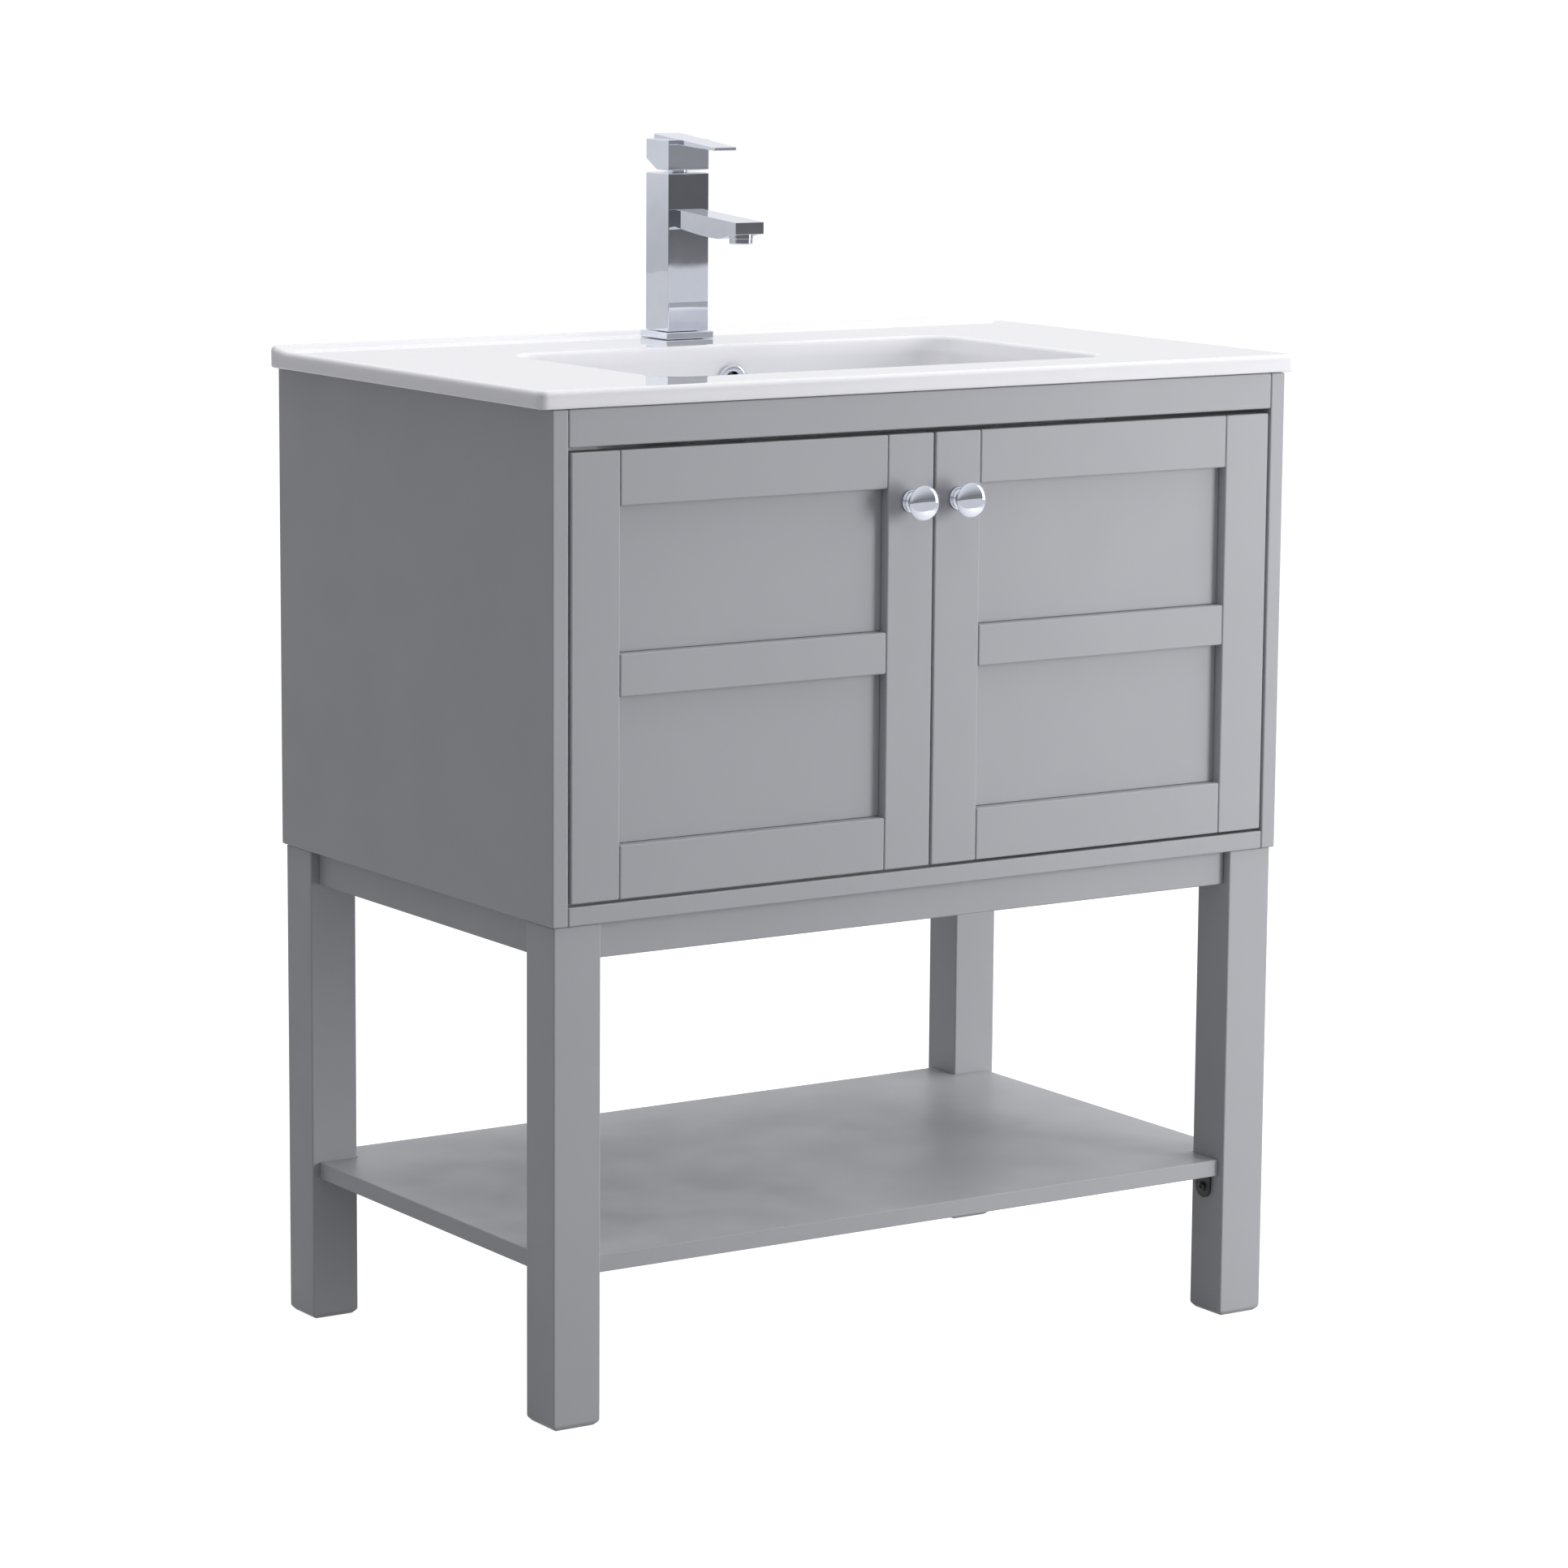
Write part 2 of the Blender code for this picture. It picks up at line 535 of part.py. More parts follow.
def make_waste():
    """The pop-up waste: a flange in the bowl, a stopper, and a nut with tailpiece below."""
    seat = BOWL_FLOOR + GAP
    centre = (0, DRAIN_Y, 0)
    sleeve = DRAIN_HOLE_RADIUS - 0.001
    bore = DRAIN_BORE_RADIUS
    sleeve_end = BOWL_FLOOR - 0.025
    flange = [(bore, seat + 0.0020), (0.0190, seat + 0.0026), (0.0310, seat + 0.0014),
              (0.0320, seat), (sleeve, seat), (sleeve, sleeve_end), (bore, sleeve_end)]
    turned("drain_flange", flange, centre, CHROME, closed=True)
    nut_top = BOWL_FLOOR - 0.014 - GAP
    shoulder = sleeve_end - GAP
    tail = BOWL_FLOOR - TAIL_LENGTH
    body = [(DRAIN_HOLE_RADIUS, nut_top), (0.0310, nut_top), (0.0310, shoulder),
            (TAIL_RADIUS, shoulder - 0.010), (TAIL_RADIUS, tail), (TAIL_BORE_RADIUS, tail),
            (TAIL_BORE_RADIUS, shoulder),
            (DRAIN_HOLE_RADIUS, shoulder)]
    turned("drain_tailpiece", body, centre, CHROME, closed=True)
    rest = seat + 0.0030
    stopper = [(0, rest + 0.0046), (0.0120, rest + 0.0042), (0.0230, rest + 0.0028),
               (0.0280, rest + 0.0012), (0.0282, rest), (0.0160, rest), (0.0160, rest - 0.008),
               (0.0040, rest - 0.010), (0.0040, rest - 0.045), (0, rest - 0.045)]
    pivot("stopper_axis", (0, DRAIN_Y, rest), [turned("drain_stopper", stopper, centre, CHROME)])


# ---- tap ---------------------------------------------------------------------------
def make_tap():
    plate_bottom = RIM_TOP + GAP
    plate_top = plate_bottom + TAP_PLATE_THICKNESS
    half_w = TAP_PLATE_WIDTH / 2
    half_d = TAP_PLATE_DEPTH / 2
    box("tap_base_plate", (-half_w, TAP_Y - half_d, plate_bottom),
        (half_w, TAP_Y + half_d, plate_top), CHROME, 0.0006)
    make_tap_body(plate_top + GAP)
    make_tap_fixing(plate_bottom)
    cartridge_end = TAP_BODY_TOP - CARTRIDGE_DEPTH
    shoulder = TAP_BODY_TOP - 0.001
    cartridge_profile = [(0, cartridge_end), (CARTRIDGE_RADIUS, cartridge_end),
                         (CARTRIDGE_RADIUS, shoulder), (CARTRIDGE_NECK_RADIUS, shoulder),
                         (CARTRIDGE_NECK_RADIUS, CAP_BOTTOM - GAP), (0, CAP_BOTTOM - GAP)]
    cartridge = turned("tap_cartridge", cartridge_profile, (0, TAP_Y, 0), CHROME)
    handle = make_handle()
    lift_axis = pivot("handle_lift_axis", (0, TAP_Y, (CAP_BOTTOM + CAP_TOP) / 2), [handle])
    pivot("handle_turn_axis", (0, TAP_Y, CAP_BOTTOM), [cartridge, lift_axis])


def make_tap_body(bottom):
    """The square column, its spout, the cartridge pocket and the aerator."""
    half_w = TAP_WIDTH / 2
    body = box("tap_body", (-half_w, TAP_FRONT_Y, bottom),
               (half_w, TAP_FRONT_Y + TAP_DEPTH, TAP_BODY_TOP), CHROME)
    tip_y = TAP_FRONT_Y - SPOUT_REACH
    aerator_y = tip_y + 0.0140
    root_y = TAP_FRONT_Y + 0.010
    root_bottom = SPOUT_TOP - SPOUT_THICKNESS
    outline = [(root_y, SPOUT_TOP), (TAP_FRONT_Y, SPOUT_TOP), (tip_y, SPOUT_TIP_TOP),
               (tip_y, SPOUT_TIP_TOP - 0.0110), (aerator_y, SPOUT_TIP_TOP - 0.0145),
               (aerator_y + 0.012, SPOUT_TIP_TOP - 0.0150), (TAP_FRONT_Y, root_bottom),
               (root_y, root_bottom)]
    spout = outline_solid("spout", outline, SPOUT_WIDTH, (0, 0, 0), CHROME,
                          (math.pi / 2, 0, math.pi / 2))
    combine(body, spout, "UNION")
    pocket = round_cutter("cartridge_pocket", CARTRIDGE_RADIUS + 0.0005,
                          2 * (CARTRIDGE_DEPTH + GAP), (0, TAP_Y, TAP_BODY_TOP))
    combine(body, pocket, "DIFFERENCE")
    aerator_top = SPOUT_TIP_TOP - 0.0080
    aerator_pocket = round_cutter("aerator_pocket", AERATOR_RADIUS + 0.0005, 0.016,
                                  (0, aerator_y, aerator_top + GAP - 0.008))
    combine(body, aerator_pocket, "DIFFERENCE")
    bottom = aerator_top - AERATOR_LENGTH
    mouth = AERATOR_RADIUS - 0.0030
    profile = [(0, aerator_top), (AERATOR_RADIUS, aerator_top), (AERATOR_RADIUS, bottom + 0.001),
               (AERATOR_RADIUS - 0.0008, bottom), (mouth, bottom), (mouth - 0.0004, bottom + 0.002),
               (0, bottom + 0.002)]
    turned("tap_aerator", profile, (0, aerator_y, 0), CHROME)


def make_tap_fixing(top):
    """The threaded shank through the rim, and the nut that clamps it from below."""
    shank = [(0, top - GAP), (SHANK_RADIUS, top - GAP), (SHANK_RADIUS, SHANK_END), (0, SHANK_END)]
    turned("tap_shank", shank, (0, TAP_Y, 0), NICKEL)
    nut_top = RIM_BOTTOM - GAP
    bore = SHANK_RADIUS + 0.0004
    nut = [(bore, nut_top), (0.0260, nut_top), (0.0260, nut_top - 0.002),
           (0.0200, nut_top - 0.002), (0.0200, nut_top - 0.012), (bore, nut_top - 0.012)]
    turned("tap_fixing_nut", nut, (0, TAP_Y, 0), NICKEL, closed=True)


def make_handle():
    """The square cap, chamfered low at the back, with its thin forward lever."""
    back_y = TAP_FRONT_Y + TAP_DEPTH
    cap_outline = [(TAP_FRONT_Y, CAP_BOTTOM), (back_y - 0.018, CAP_BOTTOM),
                   (back_y, CAP_BOTTOM + 0.0095), (back_y, CAP_TOP), (TAP_FRONT_Y, CAP_TOP)]
    sideways = (math.pi / 2, 0, math.pi / 2)
    handle = outline_solid("tap_handle", cap_outline, TAP_WIDTH, (0, 0, 0), CHROME, sideways)
    lever_tip = TAP_FRONT_Y - LEVER_REACH
    heel_y = back_y - 0.001
    lever_outline = [(heel_y, CAP_TOP - 0.002), (heel_y, CAP_TOP + 0.0045),
                     (lever_tip, CAP_TOP - 0.0045), (lever_tip, CAP_TOP - 0.0080),
                     (TAP_FRONT_Y, CAP_TOP - 0.0050)]
    lever = outline_solid("lever", lever_outline, LEVER_WIDTH, (0, 0, 0), CHROME, sideways)
    combine(handle, lever, "UNION")
    return handle


clear_scene()
PARTS, CUTTERS = make_collections()
make_carcass()
make_base()
for door_side, door_sign in SIDES.items():
    make_door(door_side, door_sign)
make_basin()
make_overflow_ring()
make_waste()
make_tap()
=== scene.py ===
"""Looks of the bathroom vanity cabinet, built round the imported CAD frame."""
import json
import math

import bmesh
import bpy
from mathutils import Matrix, Vector


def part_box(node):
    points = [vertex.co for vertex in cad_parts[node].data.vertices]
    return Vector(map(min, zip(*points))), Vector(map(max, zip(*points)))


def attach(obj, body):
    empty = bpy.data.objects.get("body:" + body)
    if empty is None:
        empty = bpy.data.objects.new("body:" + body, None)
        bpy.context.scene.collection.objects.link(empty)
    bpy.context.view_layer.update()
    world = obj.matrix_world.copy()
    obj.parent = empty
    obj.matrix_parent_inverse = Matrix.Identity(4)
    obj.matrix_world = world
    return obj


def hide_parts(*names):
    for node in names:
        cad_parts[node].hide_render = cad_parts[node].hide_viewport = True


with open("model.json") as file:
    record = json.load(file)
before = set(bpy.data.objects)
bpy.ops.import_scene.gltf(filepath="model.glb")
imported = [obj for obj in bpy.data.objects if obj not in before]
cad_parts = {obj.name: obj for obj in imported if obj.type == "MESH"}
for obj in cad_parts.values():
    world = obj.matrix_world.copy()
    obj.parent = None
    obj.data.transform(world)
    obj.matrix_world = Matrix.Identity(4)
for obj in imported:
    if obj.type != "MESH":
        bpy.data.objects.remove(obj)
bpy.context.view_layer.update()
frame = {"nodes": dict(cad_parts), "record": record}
NODES = frame["nodes"]

# ---- camera: the viewing angle and framing of the reference view ---------------------
VIEW_AZIMUTH = -33.35           # degrees, from straight in front, negative to the left
VIEW_ELEVATION = 9.37
VIEW_ROLL = 0.43
VIEW_DISTANCE = 4.677
VIEW_TARGET = (0.0045, 0.0118, 0.4818)
LENS_MM = 120.6                 # on a 36 mm wide sensor

# ---- sizes of the detailed pieces, in metres ----------------------------------------
GAP = 0.0003                    # clearance that the frame keeps between touching pieces
SEGMENTS = 96                   # sides of a turned piece
BOARD_ROUND = 0.0015            # rounded edges of the painted boards
PANEL_ROUND = 0.0005
SHELF_ROUND = 0.0010
FOOT_CHAMFER = 0.004

RIM_TOP_ROUND = 0.0042          # the ceramic rim's upper and lower edges
RIM_BOTTOM_ROUND = 0.0024
BACK_LIP = 0.004                # the rim's rear edge stands this much higher
BOWL_HALF_WIDTH = 0.228
BOWL_FRONT = 0.063              # bowl opening, from the carcass front
BOWL_BACK = 0.322
BOWL_FLOOR = 0.742
BOWL_EDGE_ROUND = 0.0055
DRAIN_HOLE_RADIUS = 0.0225

COLUMN_DEPTH = 0.0385
SPOUT_WIDTH = 0.0295
SPOUT_THICKNESS = 0.0155
SPOUT_TOP = 0.9838
SPOUT_TIP_TOP = 0.9770
LEVER_BACK_WIDTH = 0.0280
LEVER_TIP_WIDTH = 0.0230
TAP_EDGE_ROUND = 0.0009
LEVER_EDGE_ROUND = 0.0007
SPOUT_TIP_THICKNESS = 0.0105
SPOUT_DROP = 0.0158             # from the tip's top to the spout's lowest point
THREAD_PITCH = 0.0015           # of the tap's shank
OUTLET_THREAD_PITCH = 0.0018

CUP_FLANGE = 0.0014             # pressed hinge cups: flange and sheet thickness
CUP_WALL = 0.0006
CUP_RIM = 0.0050                # how far the flange reaches past the dish
WASTE_SLEEVE_LENGTH = 0.025     # the waste's sleeve in the basin
WASTE_BORE = 0.0175

# ---- studio: emission strengths, and tones at values of one direction component -------
FLOOR_HALF_WIDTH = 9
FLOOR_FRONT = -2.2
FLOOR_BACK = 12
FLOOR_GLOW = 0.55               # for mirrored rays
FLOOR_GLOW_ADDED = 0.41         # more of it where the camera sees the floor
BACKDROP_STRENGTH = 1.05
BACK_BLEND = 0.25               # reach of the change from the front tones to the back ones
ROOM_TONES = ((-1.0, 0.36), (0.0, 0.27), (1.0, 0.42))
ROOM_DEPTH_TONES = ((-1.0, 1.0), (0.0, 1.0), (0.4, 0.6), (1.0, 0.5))
MIRRORED_HORIZON = ((-0.10, 0.66), (-0.0655, 0.66), (-0.0645, 0.20), (-0.056, 0.12),
                    (-0.0482, 0.12), (-0.0468, 0.30), (0.0, 0.20))
MIRRORED_ABOVE = ((0.0, 0.0), (0.30, 0.45), (1.0, 0.65))
MIRRORED_BACK = ((-1.0, 0.50), (-0.070, 0.54), (-0.058, 0.56), (-0.047, 0.70),
                 (0.04, 0.78), (0.3, 0.95), (1.0, 1.0))


# ---- small helpers --------------------------------------------------------------------
def low(node):
    return Vector(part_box(node)[0])


def high(node):
    return Vector(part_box(node)[1])


def centre(node):
    return (low(node) + high(node)) / 2


FRONT_Y = low("left_side_panel").y
DRAIN_Y = centre("drain_flange").y
TAP_Y = centre("tap_base_plate").y
RIM_TOP = high("basin").z - BACK_LIP
SIDES = {"left": -1, "right": 1}


def link(obj):
    bpy.context.scene.collection.objects.link(obj)
    return obj


def finish_piece(obj, material, body, replaced=(), smooth=True):
    """Give a new piece its material, its body and the CAD nodes it stands for."""
    obj.data.materials.clear()
    obj.data.materials.append(material)
    for face in obj.data.polygons:
        face.use_smooth = smooth
    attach(obj, body)
    if replaced:
        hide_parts(*replaced)
    return obj


# ---- shader helpers -------------------------------------------------------------------
class Nodes:
    """A thin wrapper that makes and links the nodes of one material."""

    def __init__(self, name):
        self.material = bpy.data.materials.new(name)
        self.material.use_nodes = True
        self.tree = self.material.node_tree
        self.shader = self.tree.nodes["Principled BSDF"]
        self.place = self.add("ShaderNodeTexCoord").outputs["Object"]

    def add(self, kind, **settings):
        node = self.tree.nodes.new(kind)
        for key, value in settings.items():
            setattr(node, key, value)
        return node

    def link(self, source, target):
        self.tree.links.new(source, target)

    def stretched(self, stretch):
        mapping = self.add("ShaderNodeMapping")
        mapping.inputs["Scale"].default_value = stretch
        self.link(self.place, mapping.inputs["Vector"])
        return mapping.outputs["Vector"]

    def noise(self, scale, detail=3.0, stretch=(1, 1, 1)):
        noise = self.add("ShaderNodeTexNoise")
        noise.inputs["Scale"].default_value = scale
        noise.inputs["Detail"].default_value = detail
        self.link(self.stretched(stretch), noise.inputs["Vector"])
        return noise.outputs["Fac"]

    def ramp(self, value, stops):
        ramp = self.add("ShaderNodeValToRGB")
        elements = ramp.color_ramp.elements
        while len(elements) < len(stops):
            elements.new(0.5)
        for element, (position, colour) in zip(elements, stops):
            element.position = position
            element.color = (*colour, 1)
        self.link(value, ramp.inputs["Fac"])
        return ramp.outputs["Color"]

    def span(self, value, low_value, high_value):
        """Spread a noise over a range of values; the noise seldom leaves 0.3 to 0.7."""
        remap = self.add("ShaderNodeMapRange")
        remap.inputs["From Min"].default_value = 0.3
        remap.inputs["From Max"].default_value = 0.7
        remap.inputs["To Min"].default_value = low_value
        remap.inputs["To Max"].default_value = high_value
        self.link(value, remap.inputs["Value"])
        return remap.outputs["Result"]

    def bump(self, value, strength, distance, under=None):
        bump = self.add("ShaderNodeBump")
        bump.inputs["Strength"].default_value = strength
        bump.inputs["Distance"].default_value = distance
        self.link(value, bump.inputs["Height"])
        if under is not None:
            self.link(under, bump.inputs["Normal"])
        return bump.outputs["Normal"]

    def set(self, **values):
        for key, value in values.items():
            self.shader.inputs[key.replace("_", " ")].default_value = value

    def wire(self, **sources):
        for key, source in sources.items():
            self.link(source, self.shader.inputs[key.replace("_", " ")])


# ---- materials ------------------------------------------------------------------------
def paint_material():
    """Satin grey sprayed paint: faint tone drift, fine orange peel."""
    m = Nodes("satin_grey_paint")
    tone = m.noise(3.0, 4.0)
    m.wire(Base_Color=m.ramp(tone, ((0.30, (0.418, 0.425, 0.442)), (0.70, (0.442, 0.449, 0.466)))))
    m.wire(Roughness=m.span(m.noise(18.0, 3.0), 0.34, 0.44))
    drift = m.bump(m.noise(22.0, 2.0), 0.04, 0.004)
    m.wire(Normal=m.bump(m.noise(650.0, 2.0), 0.06, 0.0003, drift))
    m.set(IOR=1.45)
    return m.material


def board_material():
    """Primed board on the hidden back rails: matt, with fine fibres."""
    m = Nodes("primed_board")
    fibre = m.noise(90.0, 5.0, (0.15, 1, 1))
    m.wire(Base_Color=m.ramp(fibre, ((0.30, (0.42, 0.42, 0.43)), (0.70, (0.50, 0.50, 0.51)))))
    m.wire(Roughness=m.span(fibre, 0.55, 0.70))
    m.wire(Normal=m.bump(m.noise(300.0, 3.0, (0.2, 1, 1)), 0.15, 0.0004))
    return m.material


def ceramic_material():
    """White glaze over fired clay: soft waviness under a clear gloss."""
    m = Nodes("white_glaze")
    tone = m.noise(5.0, 2.0)
    m.wire(Base_Color=m.ramp(tone, ((0.30, (0.88, 0.88, 0.905)), (0.70, (0.905, 0.905, 0.93)))))
    m.wire(Roughness=m.span(m.noise(40.0, 2.0), 0.05, 0.09))
    m.wire(Normal=m.bump(m.noise(14.0, 1.0), 0.04, 0.002))
    m.set(IOR=1.5, Coat_Weight=1.0, Coat_Roughness=0.03)
    return m.material


def chrome_material():
    """Polished chrome plate: near mirror, with the slight haze and drift of real plating."""
    m = Nodes("polished_chrome")
    haze = m.noise(60.0, 4.0)
    m.wire(Base_Color=m.ramp(haze, ((0.30, (0.765, 0.80, 0.87)), (0.70, (0.80, 0.835, 0.905)))))
    m.wire(Roughness=m.span(haze, 0.004, 0.018))
    m.wire(Normal=m.bump(m.noise(24.0, 1.0), 0.02, 0.001))
    m.set(Metallic=1.0)
    return m.material


def nickel_material():
    """Nickel-plated pressed steel with a fine drawn grain."""
    m = Nodes("nickel_steel")
    grain = m.noise(400.0, 2.0, (1, 1, 0.05))
    m.wire(Base_Color=m.ramp(grain, ((0.30, (0.55, 0.54, 0.51)), (0.70, (0.68, 0.67, 0.64)))))
    m.wire(Roughness=m.span(grain, 0.22, 0.36))
    m.wire(Normal=m.bump(grain, 0.08, 0.0003))
    m.set(Metallic=1.0)
    return m.material


def black_steel_material():
    """Black powder coat with a fine texture."""
    m = Nodes("black_coated_steel")
    grit = m.noise(900.0, 3.0)
    m.wire(Base_Color=m.ramp(grit, ((0.30, (0.030, 0.031, 0.034)), (0.70, (0.055, 0.056, 0.060)))))
    m.wire(Roughness=m.span(grit, 0.38, 0.55))
    m.wire(Normal=m.bump(grit, 0.2, 0.0003))
    m.set(Metallic=0.2)
    return m.material


def floor_material():
    """Pale floor: plain white where it is seen, with no glow of its own for diffuse light."""
    m = Nodes("pale_floor")
    tone = m.noise(1.5, 2.0)
    m.wire(Base_Color=m.ramp(tone, ((0.30, (0.30, 0.30, 0.31)), (0.70, (0.32, 0.32, 0.33)))))
    m.set(Roughness=0.8, Specular_IOR_Level=0.0, Emission_Color=(1, 1, 1, 1))
    path = m.add("ShaderNodeLightPath")
    seen = m.add("ShaderNodeMapRange")
    seen.inputs["To Min"].default_value = FLOOR_GLOW
    seen.inputs["To Max"].default_value = 0.0
    m.link(path.outputs["Is Diffuse Ray"], seen.inputs["Value"])
    direct = m.add("ShaderNodeMath", operation="MULTIPLY_ADD")
    m.link(path.outputs["Is Camera Ray"], direct.inputs[0])
    direct.inputs[1].default_value = FLOOR_GLOW_ADDED
    m.link(seen.outputs["Result"], direct.inputs[2])
    m.link(direct.outputs["Value"], m.shader.inputs["Emission Strength"])
    return m.material


# ---- mesh tools -----------------------------------------------------------------------
def mesh_object(name, verts, faces):
    """A new linked object; coincident points are joined and normals face out."""
    mesh = bpy.data.meshes.new(name)
    mesh.from_pydata([tuple(v) for v in verts], [], faces)
    tidy = bmesh.new()
    tidy.from_mesh(mesh)
    bmesh.ops.remove_doubles(tidy, verts=tidy.verts, dist=0.000005)
    bmesh.ops.recalc_face_normals(tidy, faces=tidy.faces)
    tidy.to_mesh(mesh)
    tidy.free()
    return link(bpy.data.objects.new(name, mesh))


def arc(centre_point, radius, start, end, steps):
    """Points along a round stretch of a flat outline, angles in degrees."""
    points = []
    for step in range(steps + 1):
        angle = math.radians(start + (end - start) * step / steps)
        points.append((centre_point[0] + radius * math.cos(angle),
                       centre_point[1] + radius * math.sin(angle)))
    return points


def lathe(name, profile, place, axis=(0, 0, 1), closed=False, segments=SEGMENTS):
    """Turn (radius, height) points about an axis through place; heights run along the axis."""
    turn = Vector((0, 0, 1)).rotation_difference(Vector(axis)).to_matrix()
    verts = []
    for step in range(segments):
        angle = 2 * math.pi * step / segments
        for radius, height in profile:
            point = Vector((radius * math.cos(angle), radius * math.sin(angle), height))
            verts.append(Vector(place) + turn @ point)
    count = len(profile)
    rows = count if closed else count - 1
    faces = []
    for step in range(segments):
        here = step * count
        there = (step + 1) % segments * count
        for row in range(rows):
            after = (row + 1) % count
            faces.append((here + row, there + row, there + after, here + after))
    return mesh_object(name, verts, faces)


def extrude(name, outline, start, end, axis="X"):
    """A flat outline, of (y, z) points along X or (x, y) points along Z, carried along."""
    count = len(outline)
    if axis == "X":
        verts = [(place, a, b) for place in (start, end) for a, b in outline]
    else:
        verts = [(a, b, place) for place in (start, end) for a, b in outline]
    faces = [tuple(range(count)), tuple(reversed(range(count, 2 * count)))]
    for i in range(count):
        j = (i + 1) % count
        faces.append((j, i, count + i, count + j))
    return mesh_object(name, verts, faces)


def soften(obj, width, segments=3):
    """Round the sharp edges, with shading that stays flat between them."""
    bevel = obj.modifiers.new("Bevel", "BEVEL")
    bevel.width = width
    bevel.segments = segments
    bevel.limit_method = "ANGLE"
    bevel.angle_limit = math.radians(25)
    bevel.harden_normals = True


def block(name, corner_a, corner_b):
    """A box between two opposite corners, the lowest one first."""
    outline = [(corner_a[0], corner_a[1]), (corner_b[0], corner_a[1]),
               (corner_b[0], corner_b[1]), (corner_a[0], corner_b[1])]
    return extrude(name, outline, corner_a[2], corner_b[2], "Z")


def cut(obj, cutter):
    """Cut one shape out of another and keep only the result."""
    boolean = obj.modifiers.new("Cut", "BOOLEAN")
    boolean.operation = "DIFFERENCE"
    boolean.solver = "EXACT"
    boolean.object = cutter
    bpy.context.view_layer.update()
    evaluated = obj.evaluated_get(bpy.context.evaluated_depsgraph_get())
    result = bpy.data.meshes.new_from_object(evaluated)
    obj.modifiers.clear()
    obj.data = result
    bpy.data.objects.remove(cutter, do_unlink=True)
    return obj


def drill(obj, radius, place, axis, depth, segments=SEGMENTS):
    """Cut a round hole, depth long to each side of place."""
    profile = [(0, -depth), (radius, -depth), (radius, depth), (0, depth)]
    return cut(obj, lathe("drill", profile, place, axis, segments=segments))


# ---- carried-over CAD nodes -----------------------------------------------------------
def dress_cad_nodes(materials):
    """Each CAD node that stays gets the procedural material of its record slot."""
    for entry in frame["record"]["subparts"]:
        obj = NODES[entry["node"]]
        material = materials[entry["material_slot"]]
        for slot in obj.material_slots:
            slot.material = material
        if not obj.material_slots:
            obj.data.materials.append(material)


# ---- painted boards -------------------------------------------------------------------
def build_board(node, material, body="cabinet", rounding=BOARD_ROUND):
    """A board with rounded edges in place of the plain one."""
    board = block(f"{node}_board", low(node), high(node))
    if rounding:
        soften(board, rounding)
    return finish_piece(board, material, body, (node,))


def build_leg(row, side, material):
    """A square post with softly rounded corners and a small chamfer round its foot."""
    node = f"{row}_{side}_leg"
    leg = block(f"{node}_post", low(node), high(node))
    mesh = bmesh.new()
    mesh.from_mesh(leg.data)
    foot = [edge for edge in mesh.edges if all(vert.co.z < FOOT_CHAMFER for vert in edge.verts)]
    bmesh.ops.bevel(mesh, geom=foot, offset=FOOT_CHAMFER, segments=1, affect="EDGES")
    mesh.to_mesh(leg.data)
    mesh.free()
    soften(leg, BOARD_ROUND)
    return finish_piece(leg, material, "cabinet", (node,))


def build_shelf(material):
    """The low shelf, notched round the four legs."""
    middle = centre("shelf")
    reach = high("shelf") - middle
    notch_x = middle.x + reach.x - (high("shelf").x - low("front_right_leg").x) - GAP
    notch_y = low("back_right_leg").y - middle.y - GAP
    quarter = [(reach.x, notch_y), (notch_x, notch_y), (notch_x, reach.y)]
    outline = quarter + [(-x, y) for x, y in reversed(quarter)]
    outline += [(-x, -y) for x, y in quarter] + [(x, -y) for x, y in reversed(quarter)]
    placed = [(x, y + middle.y) for x, y in outline]
    shelf = extrude("shelf_board", placed, low("shelf").z, high("shelf").z, "Z")
    soften(shelf, SHELF_ROUND)
    return finish_piece(shelf, material, "cabinet", ("shelf",))


def build_boards(paint, board):
    for node in ("left_side_panel", "right_side_panel", "carcass_floor", "top_front_rail",
                 "front_apron", "back_apron", "left_apron", "right_apron"):
        build_board(node, paint)
    for node in ("upper_back_rail", "lower_back_rail"):
        build_board(node, board, rounding=PANEL_ROUND)
    for row in ("front", "back"):
        for side in SIDES:
            build_leg(row, side, paint)
    build_shelf(paint)


def build_door(side, paint, nickel):
    """Rails, stiles and panels, with the hinge cups let into the hinge stile."""
    body = f"{side}_door"
    for piece in ("knob_stile", "bottom_rail", "middle_rail", "top_rail"):
        build_board(f"{side}_door_{piece}", paint, body)
    for piece in ("lower_panel", "upper_panel"):
        build_board(f"{side}_door_{piece}", paint, body, PANEL_ROUND)
    stile = build_board(f"{side}_door_hinge_stile", paint, body, 0)
    for level in ("lower", "upper"):
        cup = f"{side}_{level}_hinge_cup"
        pocket = (high(cup).x - low(cup).x) / 2 - 0.0046
        place = (centre(cup).x, high(f"{side}_door_hinge_stile").y, centre(cup).z)
        drill(stile, pocket, place, (0, 1, 0), 0.0103)
        build_hinge_cup(cup, body, nickel)
        build_hinge_arm(f"{side}_{level}_hinge_arm", SIDES[side], nickel)
    soften(stile, BOARD_ROUND)
    for face in stile.data.polygons:        # the drilled pockets' faces come out flat
        face.use_smooth = True


# ---- screws and hinges ----------------------------------------------------------------
SCREW_MESHES = {}


